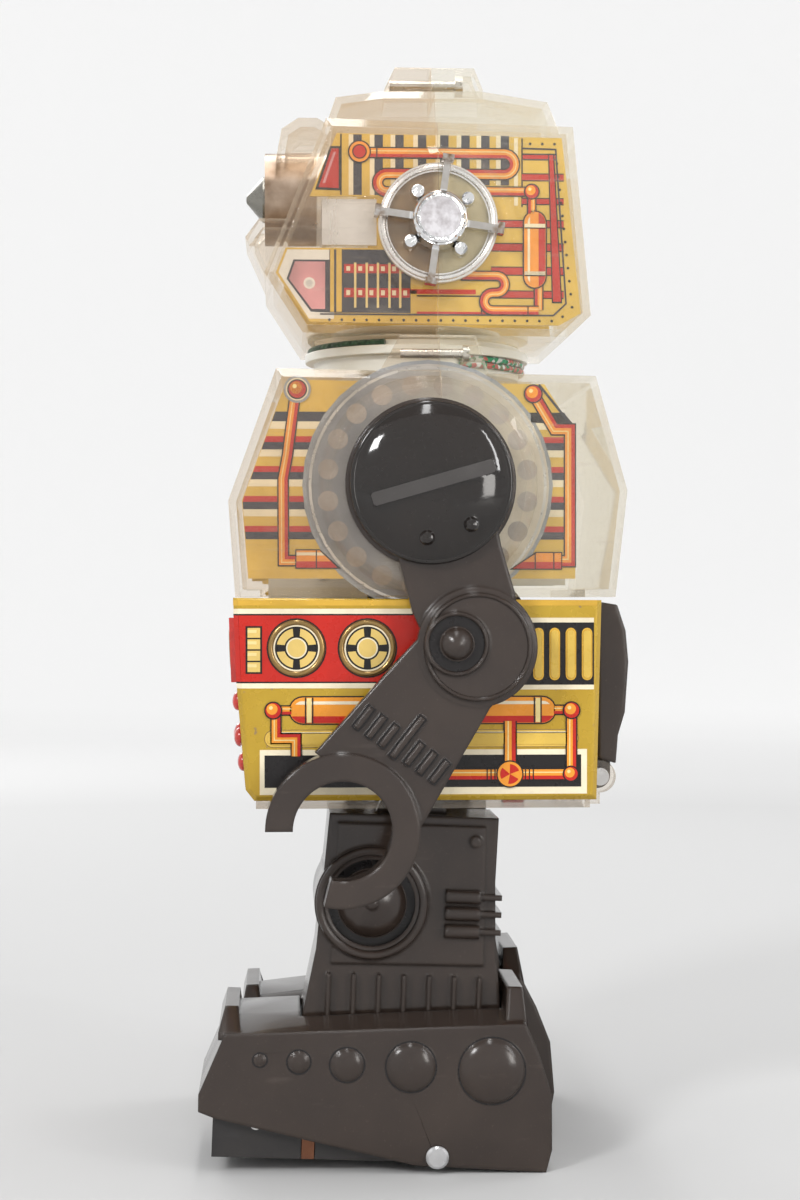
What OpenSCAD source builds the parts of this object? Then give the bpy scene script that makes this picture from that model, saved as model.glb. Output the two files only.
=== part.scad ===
// Battery-operated walking robot with a see-through head and chest.
// The robot faces -Y, +Z is up and its left side is +X. The ground is z = 0.
// Side outlines are lists of [y, z] points, extruded across the robot along X.

/* [Head] */
// Half width of the clear head shell
head_half_w = 36; // [33:0.5:38]
// Wall of the clear mouldings
clear_wall = 2; // [1.6:0.1:2.4]
// Radius of the round ear dish
ear_r = 15.5; // [14.5:0.5:16]

/* [Chest and waist] */
// Half width of the clear chest shell
chest_half_w = 44; // [43.5:0.5:45]
// Radius of the raised shoulder boss
boss_r = 31.5; // [28:0.5:32]
// Half width of the tin waist body
waist_half_w = 46; // [45:0.5:47]
// Thickness of the printed tin sheet
tin = 0.8; // [0.5:0.1:1]

/* [Arms] */
// Radius of the shoulder cap
cap_r = 20.5; // [18:0.5:22]
// Outer radius of the claw
claw_r = 19.3; // [18:0.1:20]
// Width of the claw's ring
claw_band = 6.9; // [5:0.1:8]
// How far the right arm is swung back behind the left one
right_arm_back = 14; // [0:1:20]

/* [Legs and feet] */
// Half angle between the legs as the robot stands, one forward and one back
leg_phase = 2.2; // [0:0.1:3]
// Inner side of a foot
foot_in = 5; // [4:0.5:6]
// Outer side of a foot
foot_out = 49; // [48:0.5:50]
// Radius of the front wheel
wheel_r = 9.6; // [9:0.1:10]

/* [Drive] */
// Tooth module of the gear train
tooth = 1; // [0.9:0.05:1]
// Throw of the leg cranks
crank_throw = 2.2; // [1.5:0.1:2.4]

/* [Hidden] */
$fn = 72;

eps = 0.01;
run = 0.05; // radial clearance of a running fit
seam_y = 6; // plane where the front and rear clear shells meet
seam_gap = 0.05;
chamfer = 2.4; // bevel round the clear shells' side faces

// The hip axis, and how far the standing phase of the legs lifts the body
hip_z = 98;
wheel_y = -37.6;
ground_lift = -wheel_y * sin(leg_phase) - (hip_z - wheel_r) * (1 - cos(leg_phase));

// Head outlines
head_side = [[-29, 213.4], [40.1, 212.6], [46.1, 218.3], [41.4, 267.4], [-23, 269], [-39, 228.9]];
head_tier = [[-24, 266], [40, 266], [38.1, 270.7], [36, 276.2], [17.9, 278.9], [-7.8, 278.6],
    [-20.2, 276.9]];
tier_half_w = 25;
top_tab = [[-6.7, 276], [20, 276], [20, 282.4], [17.6, 288.2], [-3.9, 288.2], [-6.7, 282.4]];
tab_half_w = 9;
tab_screw_z = 285.2;
brow_bump = [[-36, 262], [-20, 262], [-20, 270], [-25, 273], [-30, 273], [-34.5, 270]];
chin_visor = [[-39, 229.5], [-30, 232], [-30, 246], [-40.5, 246], [-44.2, 241]];
face_half_w = 15;
panel_side = [[-27.2, 216.2], [37.7, 215.6], [43.5, 218.8], [38.5, 264.5], [-20.2, 265.2], [-27.2, 248.8],
    [-9.6, 248.8], [-9.6, 235.4], [-33.4, 235.4], [-36, 228.9]];
panel_x = head_half_w - clear_wall - 0.6;
ear_y = 6;
ear_z = 241.7;
boss_face = head_half_w + 2.4;
ear_turn = 8; // the ornament's turn about its hub as the robot stands
lamp_r = 12.5;
lamp_z = 253.5;

// Chest outlines
chest_side = [[-46.3, 144.8], [51.4, 144.8], [54.5, 172.2], [46.3, 201.7], [-35.9, 203.3], [-48.1, 169.4]];
chest_panel = [[-43, 149.5], [41, 149.5], [41, 187], [33, 199.5], [-33.2, 200.4], [-44.6, 169.4]];
shoulder_tab = [[-9.2, 201], [18.3, 201], [18.3, 203], [15.2, 211.9], [-4.1, 211.9], [-9.2, 203]];
chest_panel_x = chest_half_w - clear_wall - 0.6;
shoulder_y = 3;
shoulder_z = 173.4;
boss_x = 50;
neck_y = 2.5;
collar_r = 28;
collar_flange_r = 30.5;
collar_top = 212.6;

// Waist outlines
waist_side = [[-41.4, 93], [46, 93], [47.3, 144], [-46.8, 144.6], [-45.8, 121.2], [-43.6, 95.8]];
// x, z and radius of each lens
lens_places = [[0, 116.4, 2.6], [0, 107.4, 3.2], [0, 99.8, 2.6], [-14, 107.4, 2.6], [14, 107.4, 2.6]];
tray_z = 90.9;
tray_top = 94.2;
hinge_y = 48.4;
hinge_z = 98;
pin_r = 1.2;
cover_half_w = 37;
cover_side = [[47.6, 103], [52.2, 101.6], [52.8, 109], [54.6, 115], [55.5, 128], [54.8, 136], [52.6, 142.8],
    [47.6, 143.6]];

// Batteries
cell_r = 16.6;
cell_len = 58;
cell_x = 17.2;
cell_y = -7.2;
cell_z = 125.2;
box_half_w = 36.2;

// Gear train: each wheel's teeth, and the way from one axis to the next
function polar(r, a) = [r * cos(a), r * sin(a)];
function mesh(a, b) = tooth * (a + b) / 2;
motor_teeth = 10;
first_teeth = 34;
first_small = 10;
second_teeth = 30;
second_small = 12;
third_teeth = 24;
crank_teeth = 24;
crank_at = [-24, 109];
third_at = crank_at + polar(mesh(crank_teeth, third_teeth), 90);
second_at = third_at + polar(mesh(third_teeth, second_small), 90);
first_dir = 50;
first_at = second_at + polar(mesh(second_teeth, first_small), first_dir);
motor_dir = 10;
motor_at = first_at + polar(mesh(first_teeth, motor_teeth), motor_dir);
shaft_r = 1.5;
motor_r = 12;
plate_x = 11.5; // inner face of the gear frame's plates
plate_t = 1.5;
frame_outline = [[-38, 97.5], [-11.5, 97.5], [-11.5, 148], [42, 148], [42, 190], [-30, 190], [-38, 170]];
pillars = [[-35.5, 121], [-26, 185], [36, 184], [36, 154]];

// Arm outlines, with the arm at its standing angle
elbow = [14.4, 132.3];
elbow_ring = [9.1, 133.1]; // raised ring, off the disc's centre
claw = [-19.3, 86.6];
upper_arm = [[-1.9, 141.5], [4, 128], [27, 128], [23.8, 146.5], [20.5, 157.7], [18, 172], [-10, 172],
    [-5.1, 153.9]];
fore_arm = [[-26.2, 106.1], [-14, 96], [0.2, 87.2], [17.5, 116.9], [24, 124], [14, 144], [4, 139],
    [-2.9, 131.8]];
fore_lean = 38;

// Leg and foot outlines, with the leg straight down below the hip
leg_side = [[-27, 34.6], [24.4, 37.6], [24, 43.1], [22.6, 54.4], [21.9, 71.4], [22.2, 88.2], [-21.7, 88.2],
    [-23.9, 53]];
leg_in = 10;
leg_out = 36;
leg_skin = 2; // how far the leg's raised panels stand proud
knee = [-10, 65.5];
foot_side = [[-47.9, 11.4], [2.9, 0.9], [36.4, 0], [37.7, 5.8], [37.1, 19.7], [33.6, 29.7], [30, 37.4],
    [-46.4, 32.6], [-52.4, 17.3], [-52.3, 13]];
foot_top = [[-46, 28], [29, 28], [28.4, 40.8], [-44.2, 35.4]];
// y, z and radius of each dome on the foot's side
foot_domes = [[-37.2, 26.5, 1.6], [-27.4, 26.3, 2.8], [-15.2, 25.9, 4.2], [1, 25.8, 6.2], [21.6, 25.4, 8.3]];
foot_wall = 2;
tray_side = [[-48.6, 0.9], [31, 0.9], [31, 9], [-30, 14.5], [-48.6, 14.5]];
tray_in = 9;
tray_out = 45;
rear_axle_y = 8.5;
roller_r = 3;
tang_in = 20; // inner face of the leg's drive tang
tang_out = 26;
screw_x = 23; // the two screws that hold each foot to its leg
screw_ys = [-14, 14];
boss_z = 30;

// An outline moved inwards by t, with mitred corners; its points run anticlockwise
function inset(p, t) = [
    for (i = [0 : len(p) - 1])
        let (
            n = len(p),
            before = p[i] - p[(i + n - 1) % n],
            after = p[(i + 1) % n] - p[i],
            u = [-before[1], before[0]] / norm(before),
            v = [-after[1], after[0]] / norm(after)
        )
            p[i] + (u + v) * t / (1 + u * v)
];

// An outline of [y, z] points extruded along X between two planes
module slab(outline, x0, x1) {
    translate([x0, 0, 0]) rotate([90, 0, 90]) linear_extrude(x1 - x0) polygon(outline);
}

// A round bar along X
module rod(at, r, x0, x1) {
    translate([x0, at[0], at[1]]) rotate([0, 90, 0]) cylinder(h = x1 - x0, r = r);
}

// A solid of revolution about an X axis, from [radius, x] points
module turned(at, profile) {
    translate([0, at[0], at[1]]) rotate([0, 90, 0]) rotate_extrude() polygon(profile);
}

// A slab with its two side faces bevelled
module bevelled(outline, half_w, bevel) {
    hull() {
        slab(inset(outline, bevel), -half_w, half_w);
        slab(outline, -half_w + bevel, half_w - bevel);
    }
}

module right_side(side) mirror([side < 0 ? 1 : 0, 0, 0]) children();

module lifted() translate([0, 0, ground_lift]) children();

// Left legs stand forward and right legs back
module leg_place(side) {
    translate([0, 0, ground_lift + hip_z]) rotate([-side * leg_phase, 0, 0]) translate([0, 0, -hip_z])
        right_side(side) children();
}

module front_half() {
    intersection() {
        children();
        translate([-100, -100 + seam_y - seam_gap / 2, 0]) cube([200, 100, 400]);
    }
}

module rear_half() {
    intersection() {
        children();
        translate([-100, seam_y + seam_gap / 2, 0]) cube([200, 100, 400]);
    }
}

// ---- head ----

module head_hollow() {
    difference() {
        union() {
            bevelled(head_side, head_half_w, chamfer);
            bevelled(head_tier, tier_half_w, chamfer);
            slab(top_tab, -tab_half_w, tab_half_w);
            slab(brow_bump, -face_half_w, face_half_w);
            slab(chin_visor, -face_half_w, face_half_w);
            for (side = [-1, 1]) right_side(side)
                turned([ear_y, ear_z], [[0, head_half_w], [ear_r + 4.5, head_half_w],
                    [ear_r + 2.1, boss_face], [0, boss_face]]);
        }
        slab(inset(head_side, clear_wall), -head_half_w + clear_wall, head_half_w - clear_wall);
        slab(inset(head_tier, clear_wall), -tier_half_w + clear_wall, tier_half_w - clear_wall);
        translate([0, 0, head_side[4][1] - clear_wall - 1])
            translate([-tier_half_w + clear_wall, -18, 0]) cube([2 * (tier_half_w - clear_wall), 52, 6]);
        slab(inset(brow_bump, clear_wall), -face_half_w + clear_wall, face_half_w - clear_wall);
        slab(inset(chin_visor, clear_wall), -face_half_w + clear_wall, face_half_w - clear_wall);
        // round opening of the face for the lamp housing
        translate([0, -60, lamp_z]) rotate([-90, 0, 0]) cylinder(h = 40, r = lamp_r + run);
        // ear pin bores
        rod([ear_y, ear_z], 2 + run, -60, 60);
        // recess of the ear boss, and the neck opening
        for (side = [-1, 1]) right_side(side)
            rod([ear_y, ear_z], ear_r + 0.1, head_half_w - clear_wall - eps, boss_face - clear_wall);
        translate([0, neck_y, 200]) cylinder(h = 20, r = 20 + run);
        // bore of the screw that holds the two halves together
        translate([0, -20, tab_screw_z]) rotate([-90, 0, 0]) cylinder(h = 60, r = 1.5 + run);
        translate([0, 13, tab_screw_z]) rotate([-90, 0, 0]) cylinder(h = 20, r = 3 + run);
    }
}

module head_shell_front() color([0.80, 0.72, 0.60, 0.4]) lifted() front_half() head_hollow();

module head_shell_rear() color([0.93, 0.90, 0.78, 0.4]) lifted() rear_half() head_hollow();

module head_panel(side) {
    color([0.86, 0.68, 0.22]) lifted() right_side(side) difference() {
        slab(panel_side, panel_x - tin, panel_x);
        rod([ear_y, ear_z], 6, panel_x - 5, panel_x + 5);
    }
}

module head_panel_left() head_panel(1);
module head_panel_right() head_panel(-1);

// Cup with a turned-in rim, and a bracket strap back to each side of the head
module lamp_housing() {
    color([0.75, 0.75, 0.76]) lifted() {
        difference() {
            translate([0, -39, lamp_z]) rotate([-90, 0, 0]) cylinder(h = 17, r = lamp_r);
            translate([0, -37.8, lamp_z]) rotate([-90, 0, 0]) cylinder(h = 14, r = lamp_r - 1);
            translate([0, -45, lamp_z]) rotate([-90, 0, 0]) cylinder(h = 10, r = 5 + run);
            translate([0, -30, lamp_z]) rotate([-90, 0, 0]) cylinder(h = 20, r = 4.6);
        }
        difference() {
            translate([-32, -24, 236.4]) cube([64, 1.2, 12]);
            translate([0, -30, lamp_z]) rotate([-90, 0, 0]) cylinder(h = 20, r = lamp_r - 1);
        }
        for (side = [-1, 1]) right_side(side) translate([30.8, -24, 236.4]) cube([1.2, 14.2, 12]);
    }
}

module nose_cone() {
    color([0.6, 0.58, 0.55]) lifted() translate([0, 0, lamp_z]) rotate([90, 0, 0]) rotate_extrude()
        polygon([[0, 34], [5, 34], [5, 39], [6.2, 39], [6.2, 39.6], [1, 44], [0, 44.2]]);
}

module head_bulb() {
    color([0.95, 0.93, 0.8]) lifted() translate([0, 0, lamp_z]) rotate([90, 0, 0]) rotate_extrude()
        polygon([[0, 14], [4.6, 14], [4.6, 25], [4, 25.6], [5, 27.6], [5, 30], [3.4, 32.6], [0, 33.4]]);
}

module head_screw() {
    color("silver") lifted() translate([0, 0, tab_screw_z]) {
        translate([0, -5, 0]) rotate([-90, 0, 0]) cylinder(h = 18.2, r = 1.5);
        translate([0, 13.1, 0]) rotate([-90, 0, 0]) difference() {
            cylinder(h = 2, r = 2.9);
            translate([-3, -0.35, 1.2]) cube([6, 0.7, 1]);
        }
    }
}

module ear_dish(side) {
    color([0.85, 0.80, 0.68]) lifted() right_side(side)
        turned([ear_y, ear_z], [[2 + run, 34.2], [ear_r, 34.2], [ear_r, 36.2], [ear_r - 0.8, 36.2],
            [ear_r - 1.9, 35.2], [2 + run, 35.2]]);
}

module ear_dish_left() ear_dish(1);
module ear_dish_right() ear_dish(-1);

// Chrome hub with four lugs and four studs; its pin turns in the shell
module ear_spinner(side) {
    face_x = boss_face + 0.1;
    color([0.8, 0.8, 0.82]) lifted() right_side(side) {
        turned([ear_y, ear_z], [[0, 33], [2, 33], [2, face_x], [7.6, face_x], [7, 44.4], [6, 45.4],
            [0, 45.2]]);
        translate([0, ear_y, ear_z]) rotate([-ear_turn, 0, 0])
            for (quarter = [0 : 3]) rotate([quarter * 90, 0, 0]) {
                translate([face_x, 7, -0.9]) cube([3, 9.4, 1.8]);
                translate([face_x, 15.2, -1.5]) cube([4.2, 1.6, 3]);
                rotate([45, 0, 0]) {
                    translate([face_x, 6.6, -0.8]) cube([1.2, 3, 1.6]);
                    translate([face_x, 9.2, 0]) rotate([0, 90, 0]) cylinder(h = 3, r1 = 2, r2 = 1.6);
                }
            }
    }
}

module ear_spinner_left() ear_spinner(1);
module ear_spinner_right() ear_spinner(-1);

// ---- neck and chest ----

module neck_collar() {
    color("white") lifted() translate([0, neck_y, 0]) rotate_extrude()
        polygon([[14, 198], [22.5, 198], [22.5, 199.2], [20, 199.2], [20, 203.6], [collar_r, 203.6],
            [collar_r, 208.6], [collar_flange_r, 208.6], [collar_flange_r, 211], [collar_r, 211],
            [collar_r, collar_top], [20, collar_top], [20, 215.6], [23, 215.6], [23, 216.8], [14, 216.8]]);
}

// Cloth-covered wires laid round the collar: above its flange in front, below it behind
module neck_wires() {
    wire_r = 0.8;
    color([0.12, 0.2, 0.14]) lifted() translate([0, neck_y, 0]) {
        translate([0, 0, 211 + wire_r + run]) rotate([0, 0, 200]) rotate_extrude(angle = 140)
            translate([collar_r + wire_r + 0.3, 0]) circle(wire_r);
        for (turn = [0 : 1]) translate([0, 0, 208.6 - (2 * turn + 1) * (wire_r + run)])
            rotate([0, 0, 20]) rotate_extrude(angle = 140)
                translate([collar_r + wire_r + run, 0]) circle(wire_r);
    }
}

module chest_hollow() {
    difference() {
        union() {
            bevelled(chest_side, chest_half_w, chamfer);
            for (side = [-1, 1]) right_side(side) {
                slab(shoulder_tab, 37.2, 42.6);
                // the boss is cut off level with the shell's top and bottom
                intersection() {
                    turned([shoulder_y, shoulder_z], [[0, 42], [boss_r, 42], [boss_r, 43.4], [25.6, boss_x],
                        [0, boss_x]]);
                    slab(chest_side, 41, 60);
                }
            }
        }
        slab(inset(chest_side, clear_wall), -chest_half_w + clear_wall, chest_half_w - clear_wall);
        // the floor is open over the waist
        translate([-38, -40, 140]) cube([76, 84, 10]);
        for (side = [-1, 1]) right_side(side) {
            turned([shoulder_y, shoulder_z], [[0, 41], [28, 41], [28, 43.4], [24.6, boss_x - clear_wall],
                [0, boss_x - clear_wall]]);
            rod([shoulder_y, shoulder_z], 2.5 + run, 30, 60);
            // screw bore of the shoulder tab
            translate([39.9, -20, 207.4]) rotate([-90, 0, 0]) cylinder(h = 26, r = 1.2 + run);
            translate([39.9, 0, 207.4]) rotate([-90, 0, 0]) cylinder(h = 60, r = 1.2 + run);
            translate([39.9, 12, 207.4]) rotate([-90, 0, 0]) cylinder(h = 20, r = 2.2 + run);
        }
        translate([0, neck_y, 190]) cylinder(h = 30, r = 20 + run);
    }
}

module chest_shell_front() color([0.80, 0.72, 0.60, 0.4]) lifted() front_half() chest_hollow();

module chest_shell_rear() color([0.93, 0.90, 0.78, 0.4]) lifted() rear_half() chest_hollow();

module chest_panel(side) {
    color([0.86, 0.68, 0.22]) lifted() right_side(side) difference() {
        slab(chest_panel, chest_panel_x - tin, chest_panel_x);
        rod([shoulder_y, shoulder_z], 8.5, chest_panel_x - 5, chest_panel_x + 5);
    }
}

module chest_panel_left() chest_panel(1);
module chest_panel_right() chest_panel(-1);

module shoulder_screws() {
    color("silver") lifted() for (x = [-39.9, 39.9]) translate([x, 0, 207.4]) rotate([-90, 0, 0]) {
        translate([0, 0, -4]) cylinder(h = 16.2, r = 1.2);
        translate([0, 0, 12.1]) difference() {
            cylinder(h = 1.6, r = 2.1);
            translate([-2.2, -0.3, 1]) cube([4.4, 0.6, 1]);
        }
    }
}

// Fixed shoulder pins; the arms turn on their outer ends
module shoulder_axles() {
    color("silver") lifted() for (side = [-1, 1]) right_side(side)
        turned([shoulder_y, shoulder_z], [[0, 44.4], [6, 44.4], [6, 47.9], [2.5, 47.9], [2.5, 54.2],
            [4, 54.2], [4, 55.2], [0, 55.2]]);
}

// ---- drive ----

// A spur wheel about an X axis, with one tooth pointing along angle aim
module spur(teeth, aim, x0, x1) {
    pitch = 360 / teeth;
    tip = tooth * (teeth / 2 + 0.85);
    root = tooth * (teeth / 2 - 1.2);
    outline = [
        for (i = [0 : teeth - 1])
            for (corner = [[root, -0.27], [tip, -0.12], [tip, 0.12], [root, 0.27]])
                polar(corner[0], aim + pitch * (i + corner[1]))
    ];
    slab(outline, x0, x1);
}

module shaft_bore(r) rod([0, 0], r, -60, 60);

// Two white plates held apart by pillars
module gear_frame() {
    color([0.9, 0.9, 0.88]) lifted() {
        difference() {
            for (x = [-plate_x - plate_t, plate_x]) slab(frame_outline, x, x + plate_t);
            for (at = [third_at, second_at, first_at]) rod(at, shaft_r, -60, 60);
            rod(crank_at, shaft_r + run, -60, 60);
            rod([26, 170], 6, -60, 60);
        }
        for (at = pillars) rod(at, 2, -plate_x - eps, plate_x + eps);
    }
}

module gear_shafts() {
    color("silver") lifted() for (at = [third_at, second_at, first_at])
        rod(at, shaft_r, -plate_x - plate_t - 1, plate_x + plate_t + 1);
}

module motor() {
    color([0.7, 0.7, 0.72]) lifted() translate([0, motor_at[0], motor_at[1]]) difference() {
        union() {
            rod([0, 0], motor_r, -plate_x, 2);
            rod([0, 0], 3.5, 2 - eps, 3.6);
        }
        rod([0, 0], 1 + run, -plate_x + 1, 4);
    }
}

module motor_pinion() {
    color("goldenrod") lifted() translate([0, motor_at[0], motor_at[1]]) {
        spur(motor_teeth, motor_dir + 180, 5, 9);
        rod([0, 0], 1, -plate_x + 1.5, 10);
    }
}

module first_gear() {
    color([0.75, 0.16, 0.12]) lifted() translate([0, first_at[0], first_at[1]]) difference() {
        union() {
            spur(first_teeth, motor_dir + 180 / first_teeth, 5.2, 8.8);
            spur(first_small, first_dir + 180, 0, 5.2 + eps);
        }
        shaft_bore(shaft_r + run);
        for (k = [0 : 4]) rod(polar(11.5, k * 72), 3.4, 5, 9);
    }
}

module second_gear() {
    color([0.9, 0.72, 0.2]) lifted() translate([0, second_at[0], second_at[1]]) difference() {
        union() {
            spur(second_teeth, first_dir + 180 / second_teeth, 0.2, 3.8);
            spur(second_small, 270, -6, 0.2 + eps);
        }
        shaft_bore(shaft_r + run);
        for (k = [0 : 4]) rod(polar(9.8, k * 72), 2.6, 0, 4);
    }
}

// An idler: it meshes above with the second gear and below with the crank gear
module third_gear() {
    color([0.2, 0.35, 0.6]) lifted() translate([0, third_at[0], third_at[1]]) difference() {
        spur(third_teeth, 90 + 180 / third_teeth, -5.8, -2.2);
        shaft_bore(shaft_r + run);
        for (k = [0 : 3]) rod(polar(7, k * 90), 2, -6, -2);
    }
}

// Crank gear on its shaft, with a crank disc and pin for each leg, half a turn apart
module crank_shaft() {
    color([0.75, 0.75, 0.72]) lifted() translate([0, crank_at[0], crank_at[1]]) {
        spur(crank_teeth, 90, -5.8, -2.2);
        rod([0, 0], shaft_r, -16, 16);
        for (side = [-1, 1]) right_side(side) {
            rod([0, 0], 5, 15, 18);
            rod([0, side * crank_throw], 1.5, 18 - eps, 26.5);
        }
    }
}

// ---- waist ----

module waist_body() {
    opening_half_w = cover_half_w - 0.6;
    color([0.86, 0.68, 0.22]) lifted() difference() {
        bevelled(waist_side, waist_half_w, 1.2);
        slab(inset(waist_side, tin), -waist_half_w + tin, waist_half_w - tin);
        // open below over the base tray and above under the chest
        translate([-43, -38, 80]) cube([86, 81, 20]);
        translate([-40, -41, 140]) cube([80, 83, 10]);
        // battery door opening
        translate([-opening_half_w, 40, 106]) cube([2 * opening_half_w, 20, 36.5]);
        translate([-opening_half_w, 40, 92]) cube([2 * opening_half_w, 20, 15]);
        // lens and bezel holes in the front
        for (at = lens_places)
            translate([at[0], -60, at[1]]) rotate([-90, 0, 0]) cylinder(h = 30, r = at[2] - 0.8);
    }
}

// The tin front's place at height z
function waist_front(z) =
    let (a = waist_side[4], b = z > a[1] ? waist_side[3] : waist_side[5])
        a[0] + (b[0] - a[0]) * (z - a[1]) / (b[1] - a[1]);

module front_lenses() {
    color([0.8, 0.1, 0.08]) lifted() for (at = lens_places)
        translate([at[0], waist_front(at[1]) - 0.6, at[1]]) rotate([90, 0, 0]) rotate_extrude() polygon([
            [0, -3], [at[2] - 0.9, -3], [at[2] - 0.9, 0.2], [at[2], 0.2], for (a = [0 : 15 : 90])
                [at[2] * cos(a), 0.4 + 0.6 * at[2] * sin(a)]]);
}

// Raised red instrument panel across the front
module front_bezel() {
    color([0.75, 0.1, 0.08]) lifted() difference() {
        slab([[-47.6, 122.6], [-46, 122.6], [-46.7, 139.4], [-48.2, 139.4]], -30, 30);
        for (x = [-18, 18]) translate([x, -60, 131]) rotate([-90, 0, 0]) cylinder(h = 12.6, r = 6);
    }
}

// Clear tray that closes the waist below, with ears for the hip shaft and the cover's hinge
module base_tray() {
    ear_x = [-42, -12, 8, 38];
    color([0.75, 0.68, 0.58, 0.6]) lifted() difference() {
        union() {
            translate([-44.4, -41, tray_z]) cube([88.8, 85.4, waist_side[0][1] - tray_z - run]);
            translate([-42.8, -37.8, tray_z]) cube([85.6, 80.6, tray_top - tray_z]);
            for (x = ear_x) translate([x, -5, tray_top - eps]) cube([4, 10, hip_z + 4 - tray_top]);
            for (side = [-1, 1]) right_side(side) {
                rod([hinge_y, hinge_z], 4.2, 30, 34);
                translate([30, 42, tray_z]) cube([4, hinge_y - 42, hinge_z - tray_z]);
            }
        }
        rod([0, hip_z], 2, -60, 60);
        rod([hinge_y, hinge_z], pin_r, -60, 60);
        for (side = [-1, 1]) right_side(side)
            translate([tang_in - 1.5, -13, 80]) cube([tang_out - tang_in + 3, 26, 20]);
        translate([-6, 26, 80]) cube([12, 6, 20]);
    }
}

module hip_shaft() {
    color("silver") lifted() rod([0, hip_z], 2, -43.6, 43.6);
}

module switch_slider() {
    color([0.75, 0.1, 0.08]) lifted() {
        translate([-1.5, 26.05, 88.4]) cube([3, 5.9, tray_top - 88.4 + 0.1]);
        translate([-8.2, 24.6, tray_top + run]) cube([16.4, 8.8, 1.2]);
    }
}

// ---- batteries ----

module battery_box() {
    color([0.15, 0.15, 0.15]) lifted() difference() {
        translate([-box_half_w, -9.4, cell_z - 18]) cube([2 * box_half_w, 55.6, 35.8]);
        translate([-box_half_w + 1, -8.4, cell_z - 17]) cube([2 * box_half_w - 2, 70, 34]);
    }
    color([0.15, 0.15, 0.15]) lifted() translate([-0.4, -8.5, cell_z - 17.1]) cube([0.8, 54, 34.2]);
}

module battery_cells() {
    color([0.2, 0.3, 0.5]) lifted() for (x = [-cell_x, cell_x])
        translate([x, cell_y, cell_z]) rotate([-90, 0, 0]) {
            cylinder(h = cell_len, r = cell_r - 0.4);
            cylinder(h = cell_len + 1.5, r = 4.5);
        }
}

module battery_contacts() {
    color([0.7, 0.6, 0.3]) lifted() for (x = [-cell_x, cell_x])
        translate([x - 6, -8.38, cell_z - 10]) cube([12, 0.6, 20]);
}

// Door with two knuckles on the hinge pin
module battery_cover() {
    color([0.2, 0.19, 0.18]) lifted() {
        difference() {
            slab(cover_side, -cover_half_w, cover_half_w);
            slab([[40, 104.6], [50.9, 104.6], [51.3, 109.5], [53, 115.4], [54, 128], [53.3, 135.6],
                [51.4, 141.4], [40, 141.8]], -cover_half_w + 1.5, cover_half_w - 1.5);
        }
        difference() {
            union() {
                for (side = [-1, 1]) right_side(side) {
                    rod([hinge_y, hinge_z], 3.4, 20, 29.8);
                    translate([20, hinge_y, hinge_z]) cube([9.8, 3.4, 5.6]);
                }
            }
            rod([hinge_y, hinge_z], pin_r + run, -60, 60);
        }
    }
}

module cover_hinge_pin() {
    color("silver") lifted() {
        rod([hinge_y, hinge_z], pin_r, -34, 34);
        for (side = [-1, 1]) right_side(side) rod([hinge_y, hinge_z], 2.3, 34 + eps, 35);
    }
}

// ---- arms ----

// Ribs in relief across the forearm: three short, one long, three short
module forearm_ribs(x0, x1) {
    for (i = [0 : 6]) {
        half = i == 3 ? 6.4 : 3.4;
        rise = i == 3 ? 2.4 : 0;
        translate([x0, -14.1 + i * 3.15, 114.7 - i * 2.25]) rotate([-fore_lean, 0, 0])
            translate([0, -0.9, rise - half]) cube([x1 - x0, 1.8, 2 * half]);
    }
}

// Places an arm's group, drawn for the left side, at its standing angle
module arm_place(side) {
    translate([0, shoulder_y, ground_lift + shoulder_z]) rotate([side < 0 ? right_arm_back : 0, 0, 0])
        translate([0, -shoulder_y, -shoulder_z]) right_side(side) children();
}

// One moulding: shoulder disc, upper arm, elbow disc, forearm and C-shaped claw
module arm(side) {
    color([0.22, 0.20, 0.19]) arm_place(side) difference() {
        union() {
            rod([shoulder_y, shoulder_z], cap_r + 1, 50.4, 53.6);
            slab(upper_arm, 50.6, 55.4);
            rod(elbow, 15.1, 51.5, 57.4);
            rod(elbow, 13.6, 57.4 - eps, 58.6);
            rod(elbow_ring, 8.1, 58.6 - eps, 59.4);
            rod(elbow_ring, 4.4, 59.4 - eps, 60.4);
            slab(fore_arm, 52.2, 57.2);
            forearm_ribs(57.2 - eps, 58);
            difference() {
                rod(claw, claw_r, 51.4, 60);
                rod(claw, claw_r - claw_band, 40, 70);
                slab([claw, claw + [-24, 0], claw + [-24, -24], claw + [-6, -24]], 40, 70);
            }
        }
        rod([shoulder_y, shoulder_z], 2.5 + run, 40, 60);
        rod([shoulder_y, shoulder_z], 6, 53.6, 70);
        difference() {
            rod(elbow_ring, 7, 58.8, 59.5);
            rod(elbow_ring, 4.4, 50, 60);
        }
        rod(claw, claw_r - claw_band, 40, 70);
    }
}

module arm_left() arm(1);
module arm_right() arm(-1);

module shoulder_cap(side) {
    dome = [for (a = [0 : 7.5 : 90]) [cap_r * cos(a), 56.2 + 5.6 * sin(a)]];
    color([0.18, 0.17, 0.16]) arm_place(side) {
        difference() {
            turned([shoulder_y, shoulder_z], concat([[0, 55.4], [cap_r - 0.6, 55.4]], dome));
            turned([shoulder_y, shoulder_z], [[0, 55], [5.4, 55], [5.4, 57.6], [0, 57.6]]);
        }
        translate([0, shoulder_y, shoulder_z]) rotate([16, 0, 0])
            translate([59, -15.8, -2]) cube([3.2, 31.6, 3.4]);
        for (at = [[1.6, 159.5], [12.6, 162.8]])
            turned(at, [[0, 57], [1.9, 57], [1.9, 60.9], [1.3, 61.7], [0, 62]]);
    }
}

module shoulder_cap_left() shoulder_cap(1);
module shoulder_cap_right() shoulder_cap(-1);

// ---- legs ----

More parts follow.
